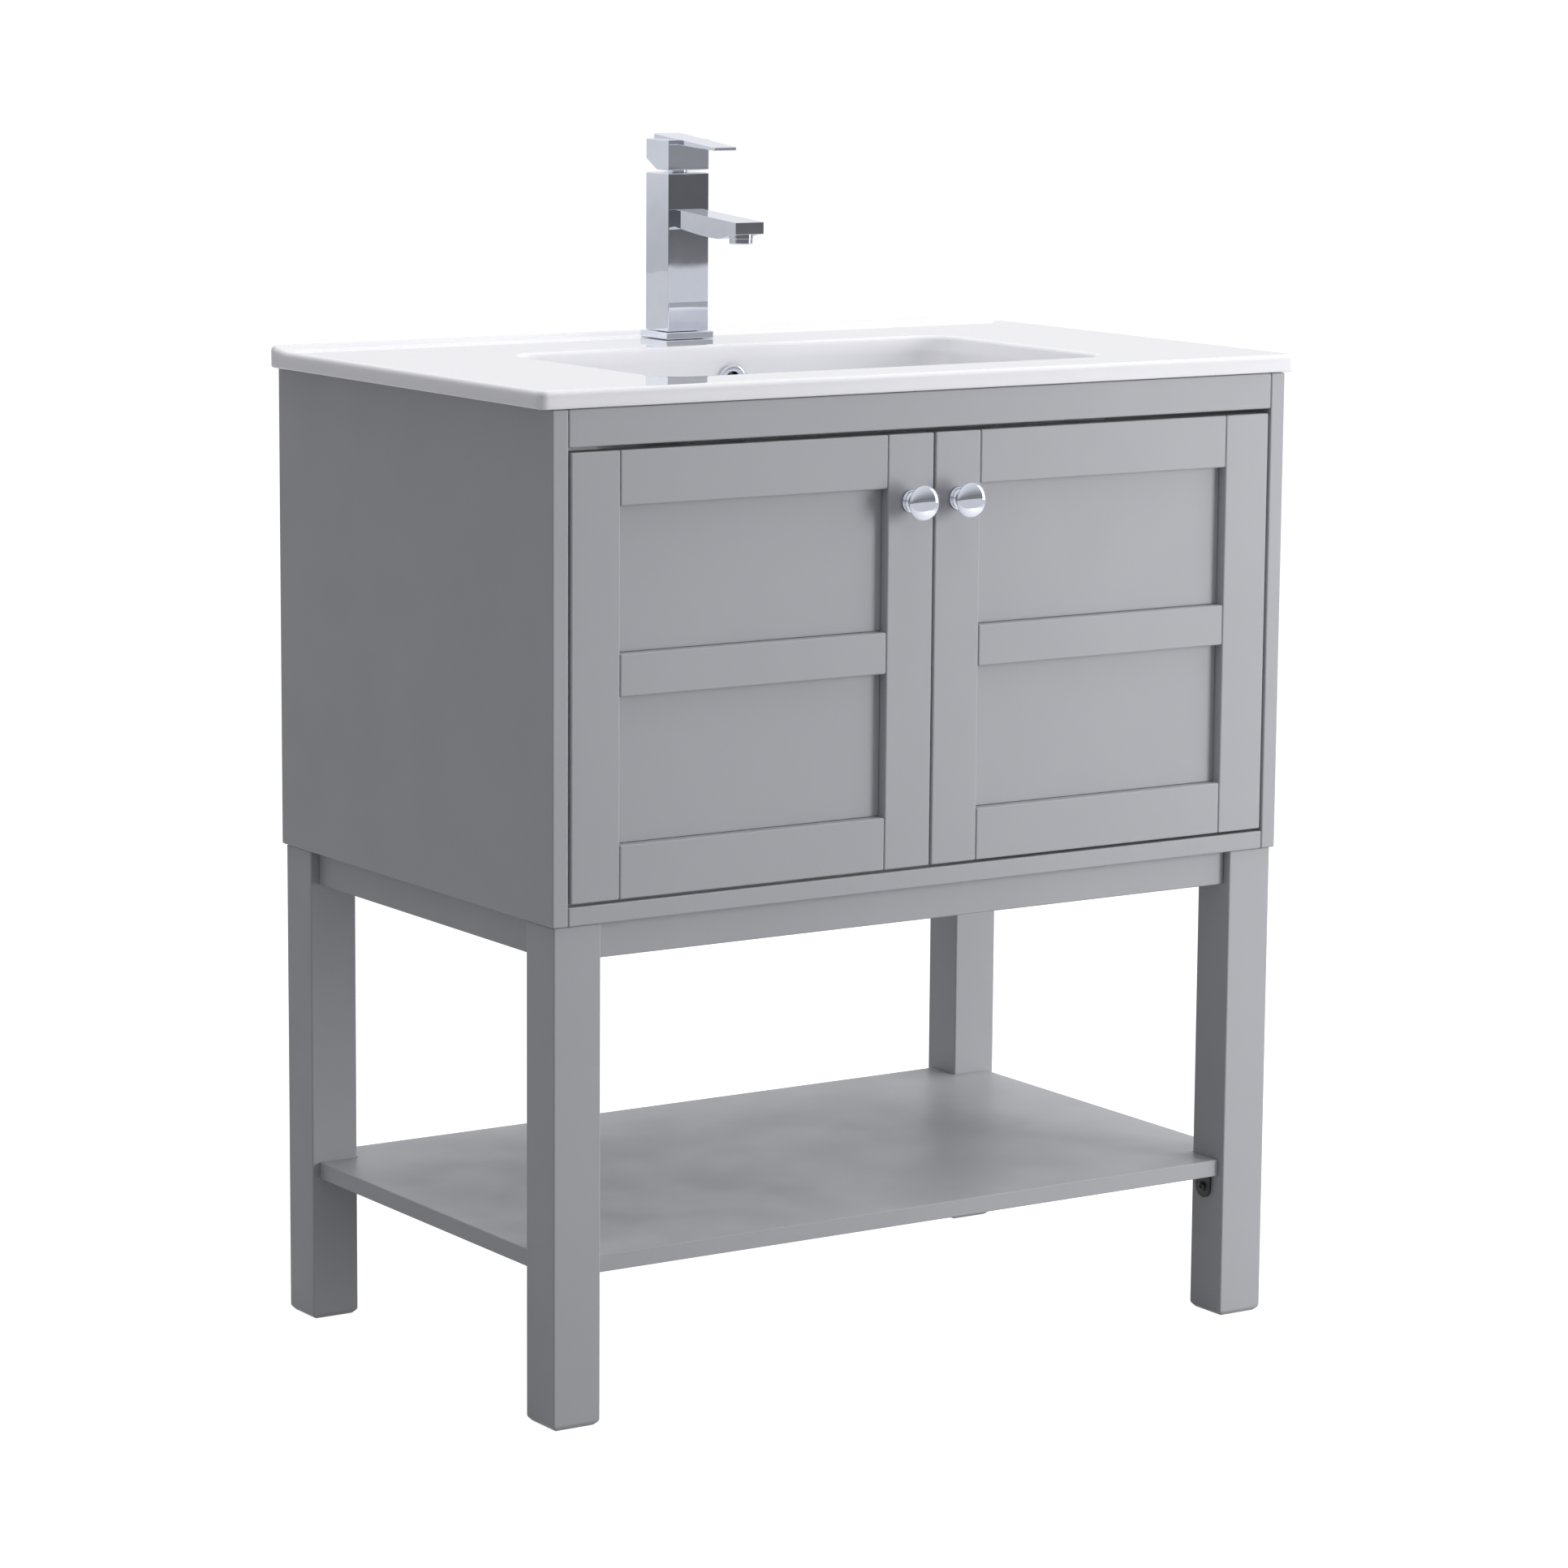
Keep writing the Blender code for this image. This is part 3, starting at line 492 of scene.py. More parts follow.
def screw_mesh(radius, height):
    """A domed head with a cross recess, made once for each size."""
    if (radius, height) not in SCREW_MESHES:
        edge = height * 0.35
        profile = [(0, 0), (radius, 0)]
        profile += [(radius * math.cos(a), edge + (height - edge) * math.sin(a))
                    for a in (math.pi / 2 * s / 8 for s in range(9))]
        head = lathe("screw", profile, (0, 0, 0), segments=48)
        half_slot = radius * 0.13
        arm = radius * 0.62
        for reach_x, reach_y in ((arm, half_slot), (half_slot, arm)):
            recess = block("recess", (-reach_x, -reach_y, height * 0.35),
                           (reach_x, reach_y, height * 2))
            cut(head, recess)
        SCREW_MESHES[(radius, height)] = head.data
        bpy.data.objects.remove(head, do_unlink=True)
    return SCREW_MESHES[(radius, height)]


def build_screw(name, place, direction, radius, height, material, body, replaced=()):
    """A screw head standing on a face that looks along direction."""
    head = link(bpy.data.objects.new(name, screw_mesh(radius, height).copy()))
    turn = Vector((0, 0, 1)).rotation_difference(Vector(direction)).to_matrix().to_4x4()
    head.data.transform(Matrix.Translation(Vector(place)) @ turn)
    finish_piece(head, material, body, replaced, smooth=False)
    head.data.shade_smooth()
    head.data.set_sharp_from_angle(angle=math.radians(35))
    return head


def build_bracket_screws(material):
    for row in ("front", "back"):
        for side, sign in SIDES.items():
            node = f"{row}_{side}_bracket_screw"
            inner = low(node).x if sign > 0 else high(node).x
            radius = round((high(node).z - low(node).z) / 2, 4)
            place = (inner + sign * 0.0022, centre(node).y, centre(node).z)
            build_screw(f"{node}_head", place, (-sign, 0, 0), radius, 0.0022, material, "cabinet",
                        (node,))


def build_hinge_cup(node, body, nickel):
    """A pressed dish with a rolled flange, and the two screws that hold it."""
    radius = (high(node).x - low(node).x) / 2
    dish = radius - CUP_RIM
    depth = high(node).y - low(node).y - CUP_FLANGE - GAP
    wall = CUP_WALL
    profile = [(0, wall - depth), (dish - 0.0040, wall - depth)]
    profile += arc((dish - 0.0030 - wall, 0.0030 + wall - depth), 0.0030, -90, 0, 6)
    profile += [(dish - wall, 0.0006), (dish + 0.0004, CUP_FLANGE), (radius - 0.0008, CUP_FLANGE)]
    profile += arc((radius - 0.0006, 0.0008), 0.0006, 90, 0, 4)
    profile += [(radius, 0), (dish, 0)]
    profile += [(dish, 0.0030 - depth), (dish - 0.0010, 0.0008 - depth), (dish - 0.0034, -depth),
                (0, -depth)]
    seat = high(node).y - CUP_FLANGE
    cup = lathe(f"{node}_dish", profile, (centre(node).x, seat, centre(node).z), (0, 1, 0))
    finish_piece(cup, nickel, body, (node,))
    for label, offset in (("low", -1), ("high", 1)):
        place = (centre(node).x, seat + 0.0008, centre(node).z + offset * (radius - 0.0026))
        build_screw(f"{node}_{label}_screw", place, (0, 1, 0), 0.0022, 0.0014, nickel, body)


def build_hinge_arm(node, sign, nickel):
    """Two fixing screws on the arm that the CAD model holds."""
    wall = high(node).x if sign > 0 else low(node).x
    for label, reach in (("front", 0.030), ("rear", 0.010)):
        place = (wall - sign * 0.0123, high(node).y - reach, centre(node).z)
        build_screw(f"{node}_{label}_screw", place, (-sign, 0, 0), 0.0038, 0.0020, nickel, "cabinet")


# ---- basin ----------------------------------------------------------------------------
def rounded_ring(half_x, front, back, radius, height, corner_steps=10, edge_steps=14):
    """One closed section: a rounded rectangle, its straight runs divided finer near the corners."""
    corners = ((1, 1), (-1, 1), (-1, -1), (1, -1))
    arcs = []
    for quarter, (sign_x, sign_y) in enumerate(corners):
        mid_x = sign_x * (half_x - radius)
        mid_y = FRONT_Y + (back - radius if sign_y > 0 else front + radius)
        arcs.append([Vector((mid_x + radius * math.cos(a), mid_y + radius * math.sin(a), height))
                     for a in (math.pi / 2 * (quarter + s / corner_steps)
                               for s in range(corner_steps + 1))])
    points = []
    for quarter in range(4):
        points += arcs[quarter]
        start = arcs[quarter][-1]
        end = arcs[(quarter + 1) % 4][0]
        points += [start.lerp(end, 0.5 - 0.5 * math.cos(math.pi * s / edge_steps))
                   for s in range(1, edge_steps)]
    return points


def circle_section(radius, height):
    reach = DRAIN_Y - FRONT_Y
    return (radius, reach - radius, reach + radius, radius, height)


def smooth_between(sections, steps):
    """Sections on a smooth curve through the given ones (Catmull-Rom)."""
    ends = [sections[0]] + sections + [sections[-1]]
    result = []
    for a, b, c, d in zip(ends, ends[1:], ends[2:], ends[3:]):
        for step in range(steps):
            t = step / steps
            result.append(tuple(
                0.5 * (2 * q + (r - p) * t + (2 * p - 5 * q + 4 * r - s) * t ** 2
                       + (3 * q - p - 3 * r + s) * t ** 3)
                for p, q, r, s in zip(a, b, c, d)))
    return result + [sections[-1]]


def basin_sections():
    """Sections from the drain bore under the bowl, out over the rim and down inside."""
    bottom = low("basin").z
    half = high("basin").x
    front = low("basin").y - FRONT_Y
    back = high("basin").y - FRONT_Y
    rim_bottom = RIM_TOP - 0.0155
    bowl = BOWL_HALF_WIDTH

    def rim(inset, height, corner=0.008):
        return (half - inset, front + inset, back - inset, max(corner - inset, 0.004), height)

    def mouth(outset, height):
        return (bowl + outset, BOWL_FRONT - outset, BOWL_BACK + outset, 0.028 + outset, height)

    underside = [
        circle_section(DRAIN_HOLE_RADIUS, bottom),
        circle_section(0.034, bottom),
        (bowl - 0.076, BOWL_FRONT + 0.052, BOWL_BACK - 0.042, 0.050, bottom),
        (bowl - 0.030, BOWL_FRONT + 0.010, BOWL_BACK - 0.012, 0.045, BOWL_FLOOR + 0.004),
        (bowl + 0.007, BOWL_FRONT - 0.007, BOWL_BACK + 0.009, 0.035, 0.800),
        (bowl + 0.012, BOWL_FRONT - 0.011, BOWL_BACK + 0.012, 0.030, rim_bottom),
    ]
    lower_edge = arc((RIM_BOTTOM_ROUND, rim_bottom + RIM_BOTTOM_ROUND), RIM_BOTTOM_ROUND, 270, 180, 4)
    upper_edge = arc((RIM_TOP_ROUND, RIM_TOP - RIM_TOP_ROUND), RIM_TOP_ROUND, 180, 90, 6)
    outside = [rim(0.012, rim_bottom)]
    outside += [rim(inset, height) for inset, height in lower_edge + upper_edge]
    outside += [rim(inset, RIM_TOP) for inset in (0.007, 0.010, 0.013, 0.016, 0.019, 0.022, 0.026)]
    bowl_edge = arc((BOWL_EDGE_ROUND, RIM_TOP - BOWL_EDGE_ROUND), BOWL_EDGE_ROUND, 90, 165, 6)
    inside = [mouth(0.020, RIM_TOP), mouth(0.012, RIM_TOP)]
    inside += [mouth(outset, height) for outset, height in bowl_edge]
    walls = [
        (bowl - 0.0040, BOWL_FRONT + 0.0030, BOWL_BACK - 0.0025, 0.027, RIM_TOP - 0.012),
        (bowl - 0.0080, BOWL_FRONT + 0.0045, BOWL_BACK - 0.0035, 0.028, RIM_TOP - 0.030),
        (bowl - 0.0150, BOWL_FRONT + 0.0070, BOWL_BACK - 0.0055, 0.032, 0.808),
        (bowl - 0.0280, BOWL_FRONT + 0.0130, BOWL_BACK - 0.0120, 0.040, 0.780),
        (bowl - 0.0460, BOWL_FRONT + 0.0230, BOWL_BACK - 0.0230, 0.050, BOWL_FLOOR + 0.013),
        (bowl - 0.0620, BOWL_FRONT + 0.0360, BOWL_BACK - 0.0360, 0.055, BOWL_FLOOR + 0.0055),
        (bowl - 0.0840, BOWL_FRONT + 0.0560, BOWL_BACK - 0.0520, 0.060, BOWL_FLOOR + 0.0025),
        circle_section(0.045, BOWL_FLOOR + 0.0004),
    ]
    seat = [circle_section(0.036, BOWL_FLOOR), circle_section(DRAIN_HOLE_RADIUS, BOWL_FLOOR)]
    return smooth_between(underside, 3) + outside + inside + smooth_between(walls, 4) + seat


def lip_rise(y):
    """How far the flat top rises towards the rim's rear edge."""
    start = high("basin").y - 0.019
    share = min(max((y - start) / 0.011, 0), 1)
    return BACK_LIP * share * share * (3 - 2 * share)


def build_basin(material):
    """The ceramic top: rim, rear lip and bowl in one loft, with its tap and overflow holes."""
    rings = [rounded_ring(*section) for section in basin_sections()]
    for ring in rings:
        for point in ring:
            if point.z > RIM_TOP - RIM_TOP_ROUND - 0.0001:
                point.z += lip_rise(point.y)
    count = len(rings[0])
    verts = [point for ring in rings for point in ring]
    faces = []
    for row in range(len(rings)):
        after = (row + 1) % len(rings)
        for i in range(count):
            j = (i + 1) % count
            faces.append((row * count + i, row * count + j, after * count + j, after * count + i))
    basin = mesh_object("ceramic_basin", verts, faces)
    shank_radius = (high("tap_shank").x - low("tap_shank").x) / 2
    drill(basin, shank_radius + 0.0025, (0, TAP_Y, RIM_TOP), (0, 0, 1), 0.030)
    ring = centre("overflow_ring")
    drill(basin, 0.0100, (0, FRONT_Y + BOWL_BACK, ring.z), (0, 1, 0), 0.030)
    finish_piece(basin, material, "cabinet", ("basin",))
    basin.data.set_sharp_from_angle(angle=math.radians(50))
    return basin


def build_overflow_ring(material):
    """A rounded chrome ring whose sleeve goes into the overflow hole."""
    node = "overflow_ring"
    outer = (high(node).x - low(node).x) / 2
    wall = low(node).y + 0.0030
    bore = outer - 0.0060
    profile = [(outer - 0.0050, -0.0110), (outer - 0.0050, 0.0002)]
    profile += arc((outer - 0.0012, 0.0014), 0.0012, -90, 60, 8)
    profile += [(outer - 0.0022, 0.0028)]
    profile += arc((bore + 0.0012, 0.0017), 0.0012, 80, 180, 8)
    profile += [(bore, -0.0110)]
    ring = lathe("overflow_trim", profile, (0, wall, centre(node).z), (0, -1, 0), closed=True)
    return finish_piece(ring, material, "cabinet", (node,))


# ---- waste ----------------------------------------------------------------------------
def build_waste(material):
    """The pop-up waste: seat ring, domed stopper, and the nut with its outlet tube."""
    seat = low("drain_flange").z + WASTE_SLEEVE_LENGTH + GAP
    sleeve = DRAIN_HOLE_RADIUS - 0.0010
    bore = WASTE_BORE
    flange = [(bore, low("drain_flange").z), (bore, seat + 0.0014)]
    flange += arc((bore + 0.0016, seat + 0.0010), 0.0016, 180, 90, 5)
    flange += [(0.0270, seat + 0.0020)]
    flange += arc((0.0308, seat + 0.0007), 0.0012, 80, 0, 5)
    flange += [(0.0320, seat), (sleeve, seat), (sleeve, low("drain_flange").z)]
    ring = lathe("waste_seat", flange, (0, DRAIN_Y, 0), closed=True)
    finish_piece(ring, material, "cabinet", ("drain_flange",))
    build_stopper(material)
    build_tailpiece(material)


def build_stopper(material):
    """A stem, a plug, and the low dome that closes the waste."""
    rest = high("drain_stopper").z - 0.0046
    radius = (high("drain_stopper").x - low("drain_stopper").x) / 2
    profile = [(0, low("drain_stopper").z), (0.0040, low("drain_stopper").z), (0.0040, rest - 0.010)]
    profile += [(0.0160, rest - 0.008), (0.0160, rest)]
    profile += [(radius - 0.0012, rest)]
    profile += arc((radius - 0.0009, rest + 0.0009), 0.0009, -90, 60, 6)
    crown = 0.0046 - 0.0018
    profile += [((radius - 0.0012) * math.cos(a), rest + 0.0018 + crown * math.sin(a))
                for a in (math.pi / 2 * s / 14 for s in range(1, 15))]
    stopper = lathe("waste_stopper", profile, (0, DRAIN_Y, 0))
    finish_piece(stopper, material, "drain_stopper", ("drain_stopper",))
    stopper.data.set_sharp_from_angle(angle=math.radians(40))


def build_tailpiece(material):
    """Back nut with a chamfered grip, and a plain tube with a short thread at its end."""
    top = high("drain_tailpiece").z
    end = low("drain_tailpiece").z
    shoulder = low("drain_flange").z - GAP
    tube = 0.0160
    bore = 0.0140
    profile = [(DRAIN_HOLE_RADIUS, top), (0.0298, top), (0.0310, top - 0.0012)]
    profile += [(0.0310, shoulder + 0.0014), (0.0298, shoulder)]
    profile += arc((tube + 0.0060, shoulder - 0.0062), 0.0060, 90, 180, 8)
    thread_top = end + 0.030
    profile.append((tube, thread_top))
    pitch = OUTLET_THREAD_PITCH
    turns = int(0.026 / pitch)
    for turn in range(turns):
        height = thread_top - turn * pitch
        profile += [(tube - 0.0006, height - pitch * 0.5), (tube, height - pitch)]
    profile += [(tube - 0.0004, end), (bore, end), (bore, shoulder), (DRAIN_HOLE_RADIUS, shoulder)]
    piece = lathe("waste_outlet_tube", profile, (0, DRAIN_Y, 0), closed=True)
    finish_piece(piece, material, "cabinet", ("drain_tailpiece",))
    piece.data.set_sharp_from_angle(angle=math.radians(35))


# ---- knobs ----------------------------------------------------------------------------
def build_knob(side, material):
    """A mushroom knob: round base, waisted neck, and a shallow dome with a rolled rim."""
    node = f"{side}_knob"
    radius = (high(node).x - low(node).x) / 2
    reach = high(node).y - low(node).y
    rim = 0.0011
    profile = [(0, 0), (0.0098, 0)]
    profile += arc((0.0088, 0.0014), 0.0010, 0, 90, 6)
    profile += arc((0.0088, 0.0054), 0.0030, -90, -180, 10)
    profile += [(0.0052, 0.0085), (0.0051, 0.0110), (0.0056, 0.0130)]
    profile += [(0.0070, 0.0152), (0.0092, 0.0168), (0.0118, 0.0178)]
    profile += arc((radius - rim, 0.0194), rim, -80, 70, 10)
    shoulder = (radius - 0.0007, 0.0204)
    dome = reach - shoulder[1]
    profile += [(shoulder[0] * math.cos(a), shoulder[1] + dome * math.sin(a) ** 1.15)
                for a in (math.pi / 2 * s / 20 for s in range(1, 21))]
    place = (centre(node).x, high(node).y, centre(node).z)
    knob = lathe(f"{side}_door_pull", profile, place, (0, -1, 0))
    return finish_piece(knob, material, f"{side}_door", (node,))


# ---- tap ------------------------------------------------------------------------------
def build_tap(chrome, nickel):
    plate = build_board("tap_base_plate", chrome, rounding=0.0010)
    plate.name = "tap_foot_plate"
    build_column(chrome)
    build_spout(chrome)
    build_aerator(chrome)
    build_cartridge(chrome)
    build_handle(chrome)
    build_tap_fixing(nickel)


def build_column(chrome):
    """The square column, with the round pocket that the cartridge turns in."""
    corner_a = Vector((low("tap_body").x, high("tap_body").y - COLUMN_DEPTH, low("tap_body").z))
    column = block("tap_column", corner_a, high("tap_body"))
    radius = (high("tap_cartridge").x - low("tap_cartridge").x) / 2
    drill(column, radius + 0.0005, (0, TAP_Y, high("tap_body").z), (0, 0, 1), 0.0150)
    soften(column, TAP_EDGE_ROUND)
    finish_piece(column, chrome, "cabinet", ("tap_body",))


def build_spout(chrome):
    """The flat spout: straight and slightly falling, curving up under its tip."""
    root = high("tap_body").y - COLUMN_DEPTH
    tip = low("tap_body").y
    belly = tip + 0.030
    outline = [(root + 0.0010, SPOUT_TOP), (tip, SPOUT_TIP_TOP),
               (tip, SPOUT_TIP_TOP - SPOUT_TIP_THICKNESS)]
    lowest = SPOUT_TIP_TOP - SPOUT_DROP
    outline += [(tip + (belly - tip) * s / 8, lowest + 0.0050 * math.cos(math.pi / 2 * s / 8) ** 1.6)
                for s in range(1, 9)]
    outline += [(belly + (root - belly) * s / 6,
                 lowest + (SPOUT_TOP - SPOUT_THICKNESS - lowest) * (s / 6) ** 1.5) for s in range(1, 7)]
    outline.append((root + 0.0010, SPOUT_TOP - SPOUT_THICKNESS))
    spout = extrude("tap_spout", outline, -SPOUT_WIDTH / 2, SPOUT_WIDTH / 2)
    aerator = centre("tap_aerator")
    radius = (high("tap_aerator").x - low("tap_aerator").x) / 2
    drill(spout, radius + 0.0004, (0, aerator.y, high("tap_aerator").z - 0.010), (0, 0, 1), 0.010)
    soften(spout, TAP_EDGE_ROUND, 3)
    finish_piece(spout, chrome, "cabinet")


def build_aerator(chrome):
    """A round nozzle with a rolled mouth, and a pierced strainer set inside it."""
    node = "tap_aerator"
    radius = (high(node).x - low(node).x) / 2
    top = high(node).z
    bottom = low(node).z
    mouth = radius - 0.0022
    profile = [(0, top), (radius, top), (radius, bottom + 0.0052), (radius - 0.0004, bottom + 0.0048)]
    profile += [(radius - 0.0004, bottom + 0.0012)]
    profile += arc((radius - 0.0014, bottom + 0.0010), 0.0010, 0, -90, 6)
    profile += arc((mouth + 0.0006, bottom + 0.0006), 0.0006, -90, -180, 6)
    profile += [(mouth, bottom + 0.0030), (0, bottom + 0.0030)]
    nozzle = lathe("tap_nozzle", profile, (0, centre(node).y, 0))
    finish_piece(nozzle, chrome, "cabinet", (node,))
    nozzle.data.set_sharp_from_angle(angle=math.radians(40))
    strainer = lathe("tap_strainer", [(0, bottom + 0.0012), (mouth - GAP, bottom + 0.0012),
                                      (mouth - GAP, bottom + 0.0030), (0, bottom + 0.0030)],
                     (0, centre(node).y, 0))
    pitch = 0.0036
    for row in (-1, 0, 1):
        for column in (-1, 0, 1):
            place = (row * pitch, centre(node).y + column * pitch, bottom + 0.0012)
            drill(strainer, 0.0011, place, (0, 0, 1), 0.0010, segments=12)
    finish_piece(strainer, chrome, "cabinet", smooth=False)


def build_cartridge(chrome):
    """The turning core: a wide body in the pocket and the neck that shows under the cap."""
    node = "tap_cartridge"
    radius = (high(node).x - low(node).x) / 2
    shoulder = high("tap_body").z - 0.0010
    neck = 0.0090
    profile = [(0, low(node).z), (radius, low(node).z), (radius, shoulder - 0.0006)]
    profile += [(radius - 0.0006, shoulder), (neck + 0.0006, shoulder), (neck, shoulder + 0.0004)]
    profile += [(neck, high(node).z), (0, high(node).z)]
    core = lathe("tap_core", profile, (0, TAP_Y, 0))
    finish_piece(core, chrome, "tap_cartridge", (node,))
    core.data.set_sharp_from_angle(angle=math.radians(40))


def build_handle(chrome):
    """The square cap, cut away low at the back, under a thin blade that narrows forwards."""
    node = "tap_handle"
    half = high(node).x
    back = high("tap_body").y
    front = back - COLUMN_DEPTH
    bottom = low(node).z
    top = high(node).z - 0.0045
    outline = [(front, bottom), (back - 0.0180, bottom), (back, bottom + 0.0095), (back, top),
               (front, top)]
    cap = extrude("tap_cap", outline, -half, half)
    soften(cap, TAP_EDGE_ROUND)
    finish_piece(cap, chrome, "tap_handle", (node,))
    tip = low(node).y
    heel = back - 0.0010
    blade_outline = [(heel, top - 0.0010), (heel, top + 0.0045), (tip, top - 0.0045),
                     (tip, top - 0.0078), (front, top - 0.0045), (front + 0.0030, top - 0.0030)]
    blade = extrude("tap_lever", blade_outline, -LEVER_BACK_WIDTH / 2, LEVER_BACK_WIDTH / 2)
    for vert in blade.data.vertices:
        share = (heel - vert.co.y) / (heel - tip)
        vert.co.x *= 1 + share * (LEVER_TIP_WIDTH / LEVER_BACK_WIDTH - 1)
    soften(blade, LEVER_EDGE_ROUND)
    finish_piece(blade, chrome, "tap_handle")


def build_tap_fixing(nickel):
    """The threaded shank, and a washer and hexagon nut that clamp it under the rim."""
    node = "tap_shank"
    radius = (high(node).x - low(node).x) / 2
    bottom = low(node).z
    top = high(node).z
    pitch = THREAD_PITCH
    turns = int((top - bottom) / pitch) - 1
    profile = [(0, bottom), (radius - 0.0010, bottom)]
    for turn in range(turns):
        profile += [(radius, bottom + (turn + 0.5) * pitch),
                    (radius - 0.0008, bottom + (turn + 1) * pitch)]
    profile += [(radius, top - 0.0005), (radius, top), (0, top)]
    shank = lathe("tap_threaded_shank", profile, (0, TAP_Y, 0))
    finish_piece(shank, nickel, "cabinet", (node,), smooth=False)
    node = "tap_fixing_nut"
    outer = (high(node).x - low(node).x) / 2
    bore = radius + 0.0004
    top = high(node).z
    ring = [(bore, top - 0.0020), (outer, top - 0.0020), (outer, top), (bore, top)]
    washer = lathe("tap_washer", ring, (0, TAP_Y, 0), closed=True)
    soften(washer, 0.0003)
    finish_piece(washer, nickel, "cabinet", smooth=False)
    corner = outer - 0.0060
    hexagon = [(corner * math.cos(math.pi / 3 * s), TAP_Y + corner * math.sin(math.pi / 3 * s))
               for s in range(6)]
    nut = extrude("tap_hexagon_nut", hexagon, low(node).z, top - 0.0023, "Z")
    drill(nut, bore, (0, TAP_Y, low(node).z), (0, 0, 1), 0.020)
    soften(nut, 0.0006, 2)
    finish_piece(nut, nickel, "cabinet", (node,), smooth=False)


# ---- stage, light and camera ----------------------------------------------------------
def build_stage(material):
    half = FLOOR_HALF_WIDTH
    corners = [(-half, FLOOR_FRONT, 0), (half, FLOOR_FRONT, 0),
               (half, FLOOR_BACK, 0), (-half, FLOOR_BACK, 0)]
    floor = mesh_object("studio_floor", corners, [(0, 1, 2, 3)])
    floor.data.materials.append(material)


class Studio:
    """The world: white to the camera, a dim room for diffuse light, and for what polished
    pieces reflect a pale back, a dark front and a white floor that ends at a low horizon."""

    def __init__(self):
        world = bpy.data.worlds.new("studio")
        bpy.context.scene.world = world
        world.use_nodes = True
        self.tree = world.node_tree
        coords = self.tree.nodes.new("ShaderNodeTexCoord")
        split = self.tree.nodes.new("ShaderNodeSeparateXYZ")
        self.tree.links.new(coords.outputs["Generated"], split.inputs["Vector"])
        self.direction = split.outputs
        path = self.tree.nodes.new("ShaderNodeLightPath")
        room = self.background(self.blend("MULTIPLY", 1, self.ramp(self.direction["X"], ROOM_TONES),
                                          self.ramp(self.direction["Y"], ROOM_DEPTH_TONES)))
        mirrored = self.background(self.reflected_room())
        shown = self.background(None)
        light = self.mix(path.outputs["Is Diffuse Ray"], mirrored, room)
        seen = self.mix(path.outputs["Is Camera Ray"], light, shown)
        self.tree.links.new(seen, self.tree.nodes["World Output"].inputs["Surface"])

    def ramp(self, value, stops):
        """Grey tones along one direction component, level beyond the first and last stop."""
        start = stops[0][0]
        end = stops[-1][0]
        turned = self.tree.nodes.new("ShaderNodeMapRange")
        turned.inputs["From Min"].default_value = start
        turned.inputs["From Max"].default_value = end
        self.tree.links.new(value, turned.inputs["Value"])
        ramp = self.tree.nodes.new("ShaderNodeValToRGB")
        elements = ramp.color_ramp.elements
        while len(elements) < len(stops):
            elements.new(0.5)
        for element, (component, tone) in zip(elements, stops):
            element.position = (component - start) / (end - start)
            element.color = (tone, tone, tone * 1.03, 1)
        self.tree.links.new(turned.outputs["Result"], ramp.inputs["Fac"])
        return ramp.outputs["Color"]

    def blend(self, kind, factor, first, second):
        node = self.tree.nodes.new("ShaderNodeMix")
        node.data_type = "RGBA"
        node.blend_type = kind
        if isinstance(factor, int):
            node.inputs["Factor"].default_value = factor
        else:
            self.tree.links.new(factor, node.inputs["Factor"])
        self.tree.links.new(first, node.inputs["A"])
        self.tree.links.new(second, node.inputs["B"])
        return node.outputs["Result"]

    def reflected_room(self):
        """Tones by height in front of the object, and others behind it."""
        behind = self.tree.nodes.new("ShaderNodeMapRange")
        behind.inputs["From Min"].default_value = -BACK_BLEND
        behind.inputs["From Max"].default_value = BACK_BLEND
        self.tree.links.new(self.direction["Y"], behind.inputs["Value"])
        front = self.blend("ADD", 1, self.ramp(self.direction["Z"], MIRRORED_HORIZON),
                           self.ramp(self.direction["Z"], MIRRORED_ABOVE))
        return self.blend("MIX", behind.outputs["Result"], front,
                          self.ramp(self.direction["Z"], MIRRORED_BACK))

    def background(self, colour):
        """A background of the given tones, or plain white without them."""
        node = self.tree.nodes.new("ShaderNodeBackground")
        if colour is None:
            node.inputs["Color"].default_value = (1, 1, 1, 1)
            node.inputs["Strength"].default_value = BACKDROP_STRENGTH
        else:
            self.tree.links.new(colour, node.inputs["Color"])
        return node.outputs["Background"]

    def mix(self, factor, when_not, when):
        node = self.tree.nodes.new("ShaderNodeMixShader")
        self.tree.links.new(factor, node.inputs["Fac"])
        self.tree.links.new(when_not, node.inputs[1])
        self.tree.links.new(when, node.inputs[2])
        return node.outputs["Shader"]


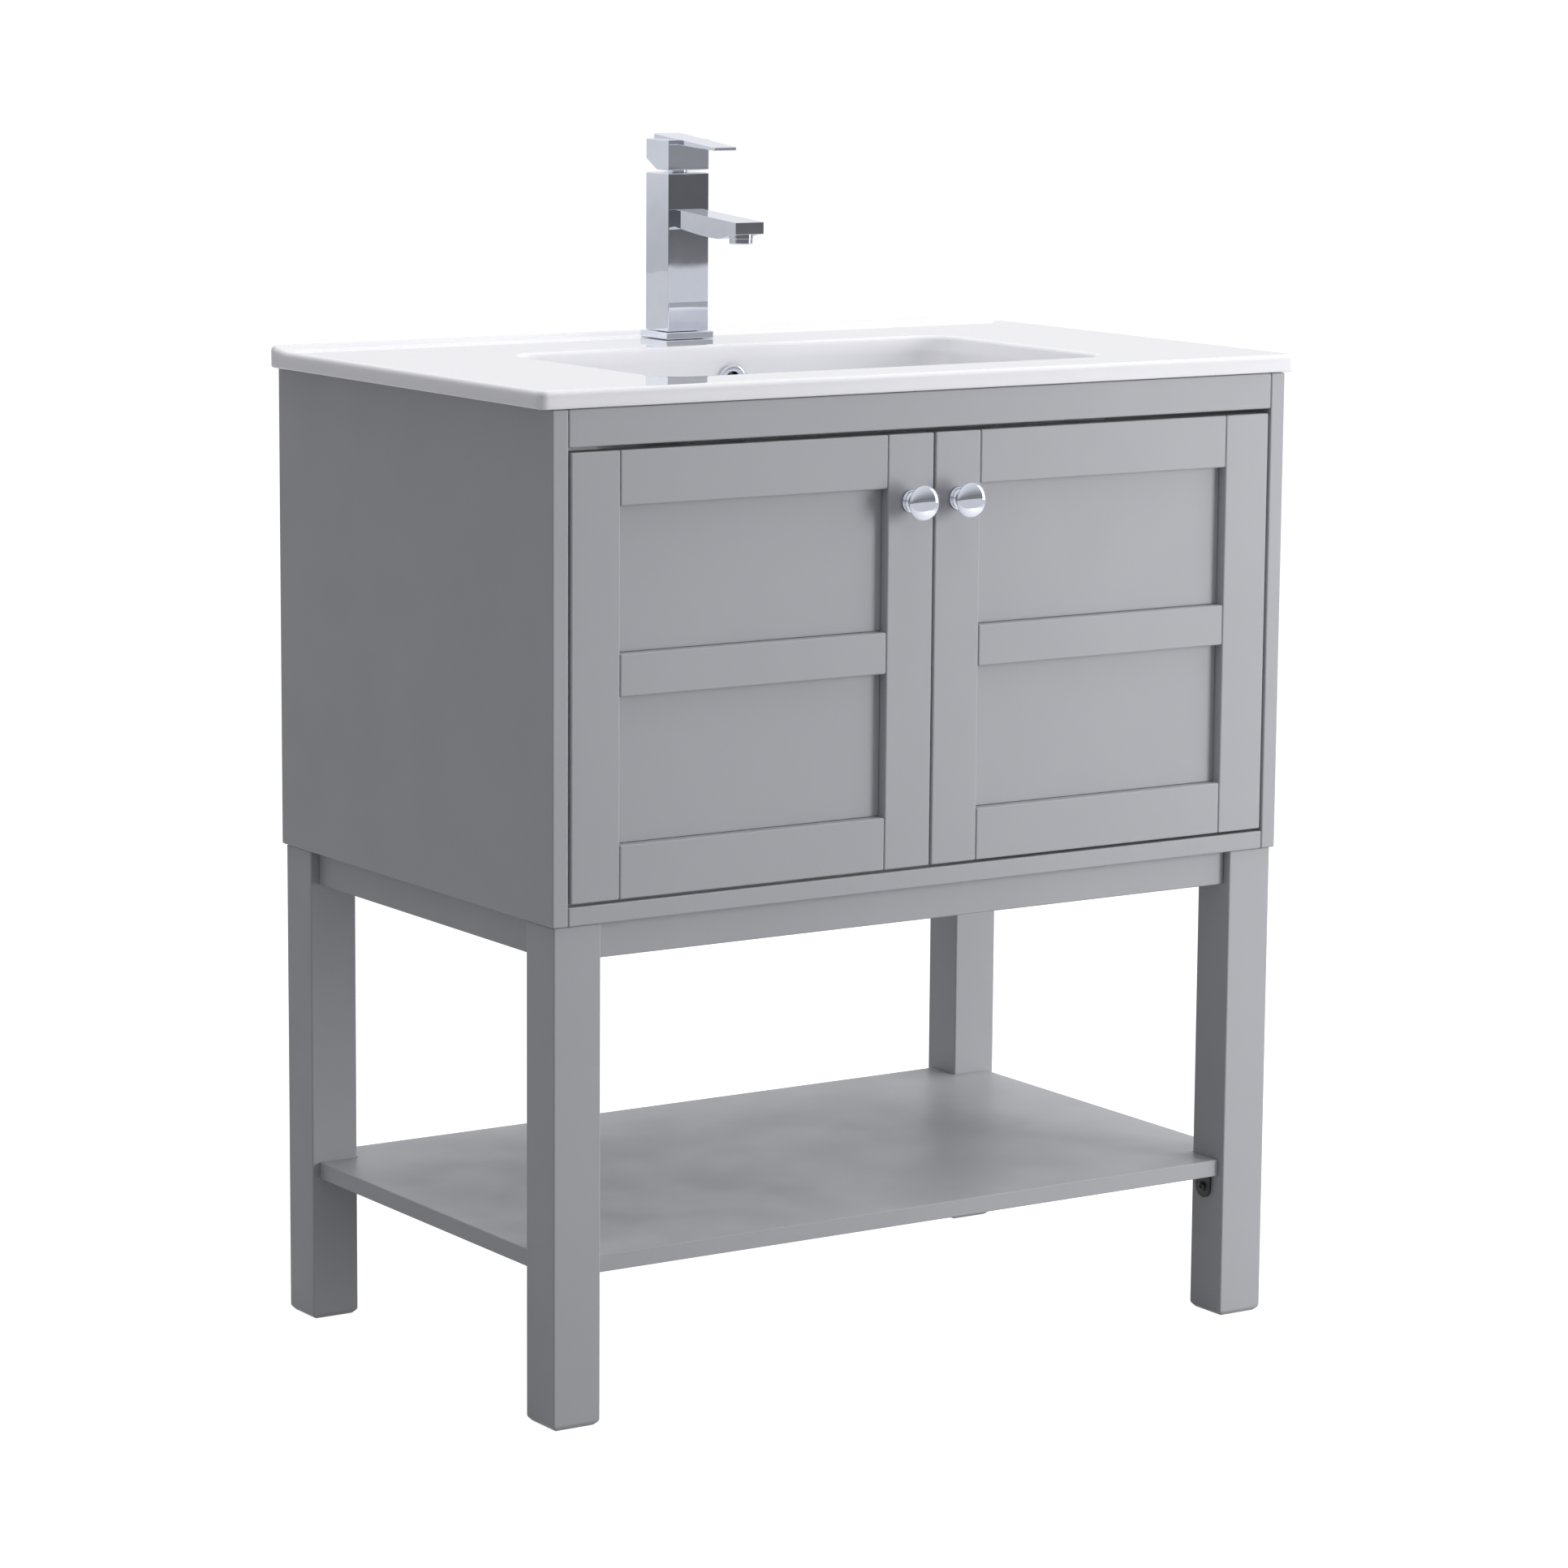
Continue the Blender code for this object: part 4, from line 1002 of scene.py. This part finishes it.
def area_light(name, place, aim, size, power, mirrored=True):
    """A soft panel of light; one that isn't mirrored stays out of the polished pieces."""
    data = bpy.data.lights.new(name, "AREA")
    data.shape = "RECTANGLE"
    data.size = size[0]
    data.size_y = size[1]
    data.energy = power
    light = link(bpy.data.objects.new(name, data))
    light.location = place
    light.rotation_euler = (Vector(aim) - Vector(place)).to_track_quat("-Z", "Y").to_euler()
    light.visible_glossy = mirrored
    return light


def build_lights():
    area_light("key_right", (1.6, -2.0, 0.75), (0.1, 0.0, 0.5), (0.8, 1.3), 34, False)
    area_light("glint_right", (2.7, -1.35, 1.30), (0.1, 0.0, 0.5), (1.0, 1.8), 10)
    area_light("right_soft", (2.2, 0.2, 0.95), (0.1, 0.0, 0.4), (1.2, 1.2), 20, False)
    area_light("top_soft", (0.4, 0.2, 3.2), (0, 0, 0), (3.0, 3.0), 56, False)


def build_camera():
    azimuth = math.radians(VIEW_AZIMUTH)
    elevation = math.radians(VIEW_ELEVATION)
    away = Vector((math.sin(azimuth) * math.cos(elevation), -math.cos(azimuth) * math.cos(elevation),
                   math.sin(elevation)))
    right = Vector((0, 0, 1)).cross(away).normalized()
    up = away.cross(right)
    axes = Matrix((right, up, away)).transposed()
    roll = Matrix.Rotation(math.radians(VIEW_ROLL), 3, "Z")
    data = bpy.data.cameras.new("camera")
    data.lens = LENS_MM
    data.sensor_width = 36
    camera = link(bpy.data.objects.new("camera", data))
    place = Vector(VIEW_TARGET) + away * VIEW_DISTANCE
    camera.matrix_world = Matrix.Translation(place) @ (axes @ roll).to_4x4()
    bpy.context.scene.camera = camera


# ---- build ----------------------------------------------------------------------------
build_camera()
Studio()
build_lights()
build_stage(floor_material())
bpy.context.scene.view_settings.view_transform = "Standard"

chrome = chrome_material()
ceramic = ceramic_material()
paint = paint_material()
board = board_material()
nickel = nickel_material()
black_steel = black_steel_material()
dress_cad_nodes({"grey_paint": paint, "board": board, "ceramic": ceramic, "chrome": chrome,
                 "nickel_steel": nickel, "black_steel": black_steel})
build_boards(paint, board)
for door_side in SIDES:
    build_door(door_side, paint, nickel)
    build_knob(door_side, chrome)
build_bracket_screws(black_steel)
build_basin(ceramic)
build_overflow_ring(chrome)
build_waste(chrome)
build_tap(chrome, nickel)
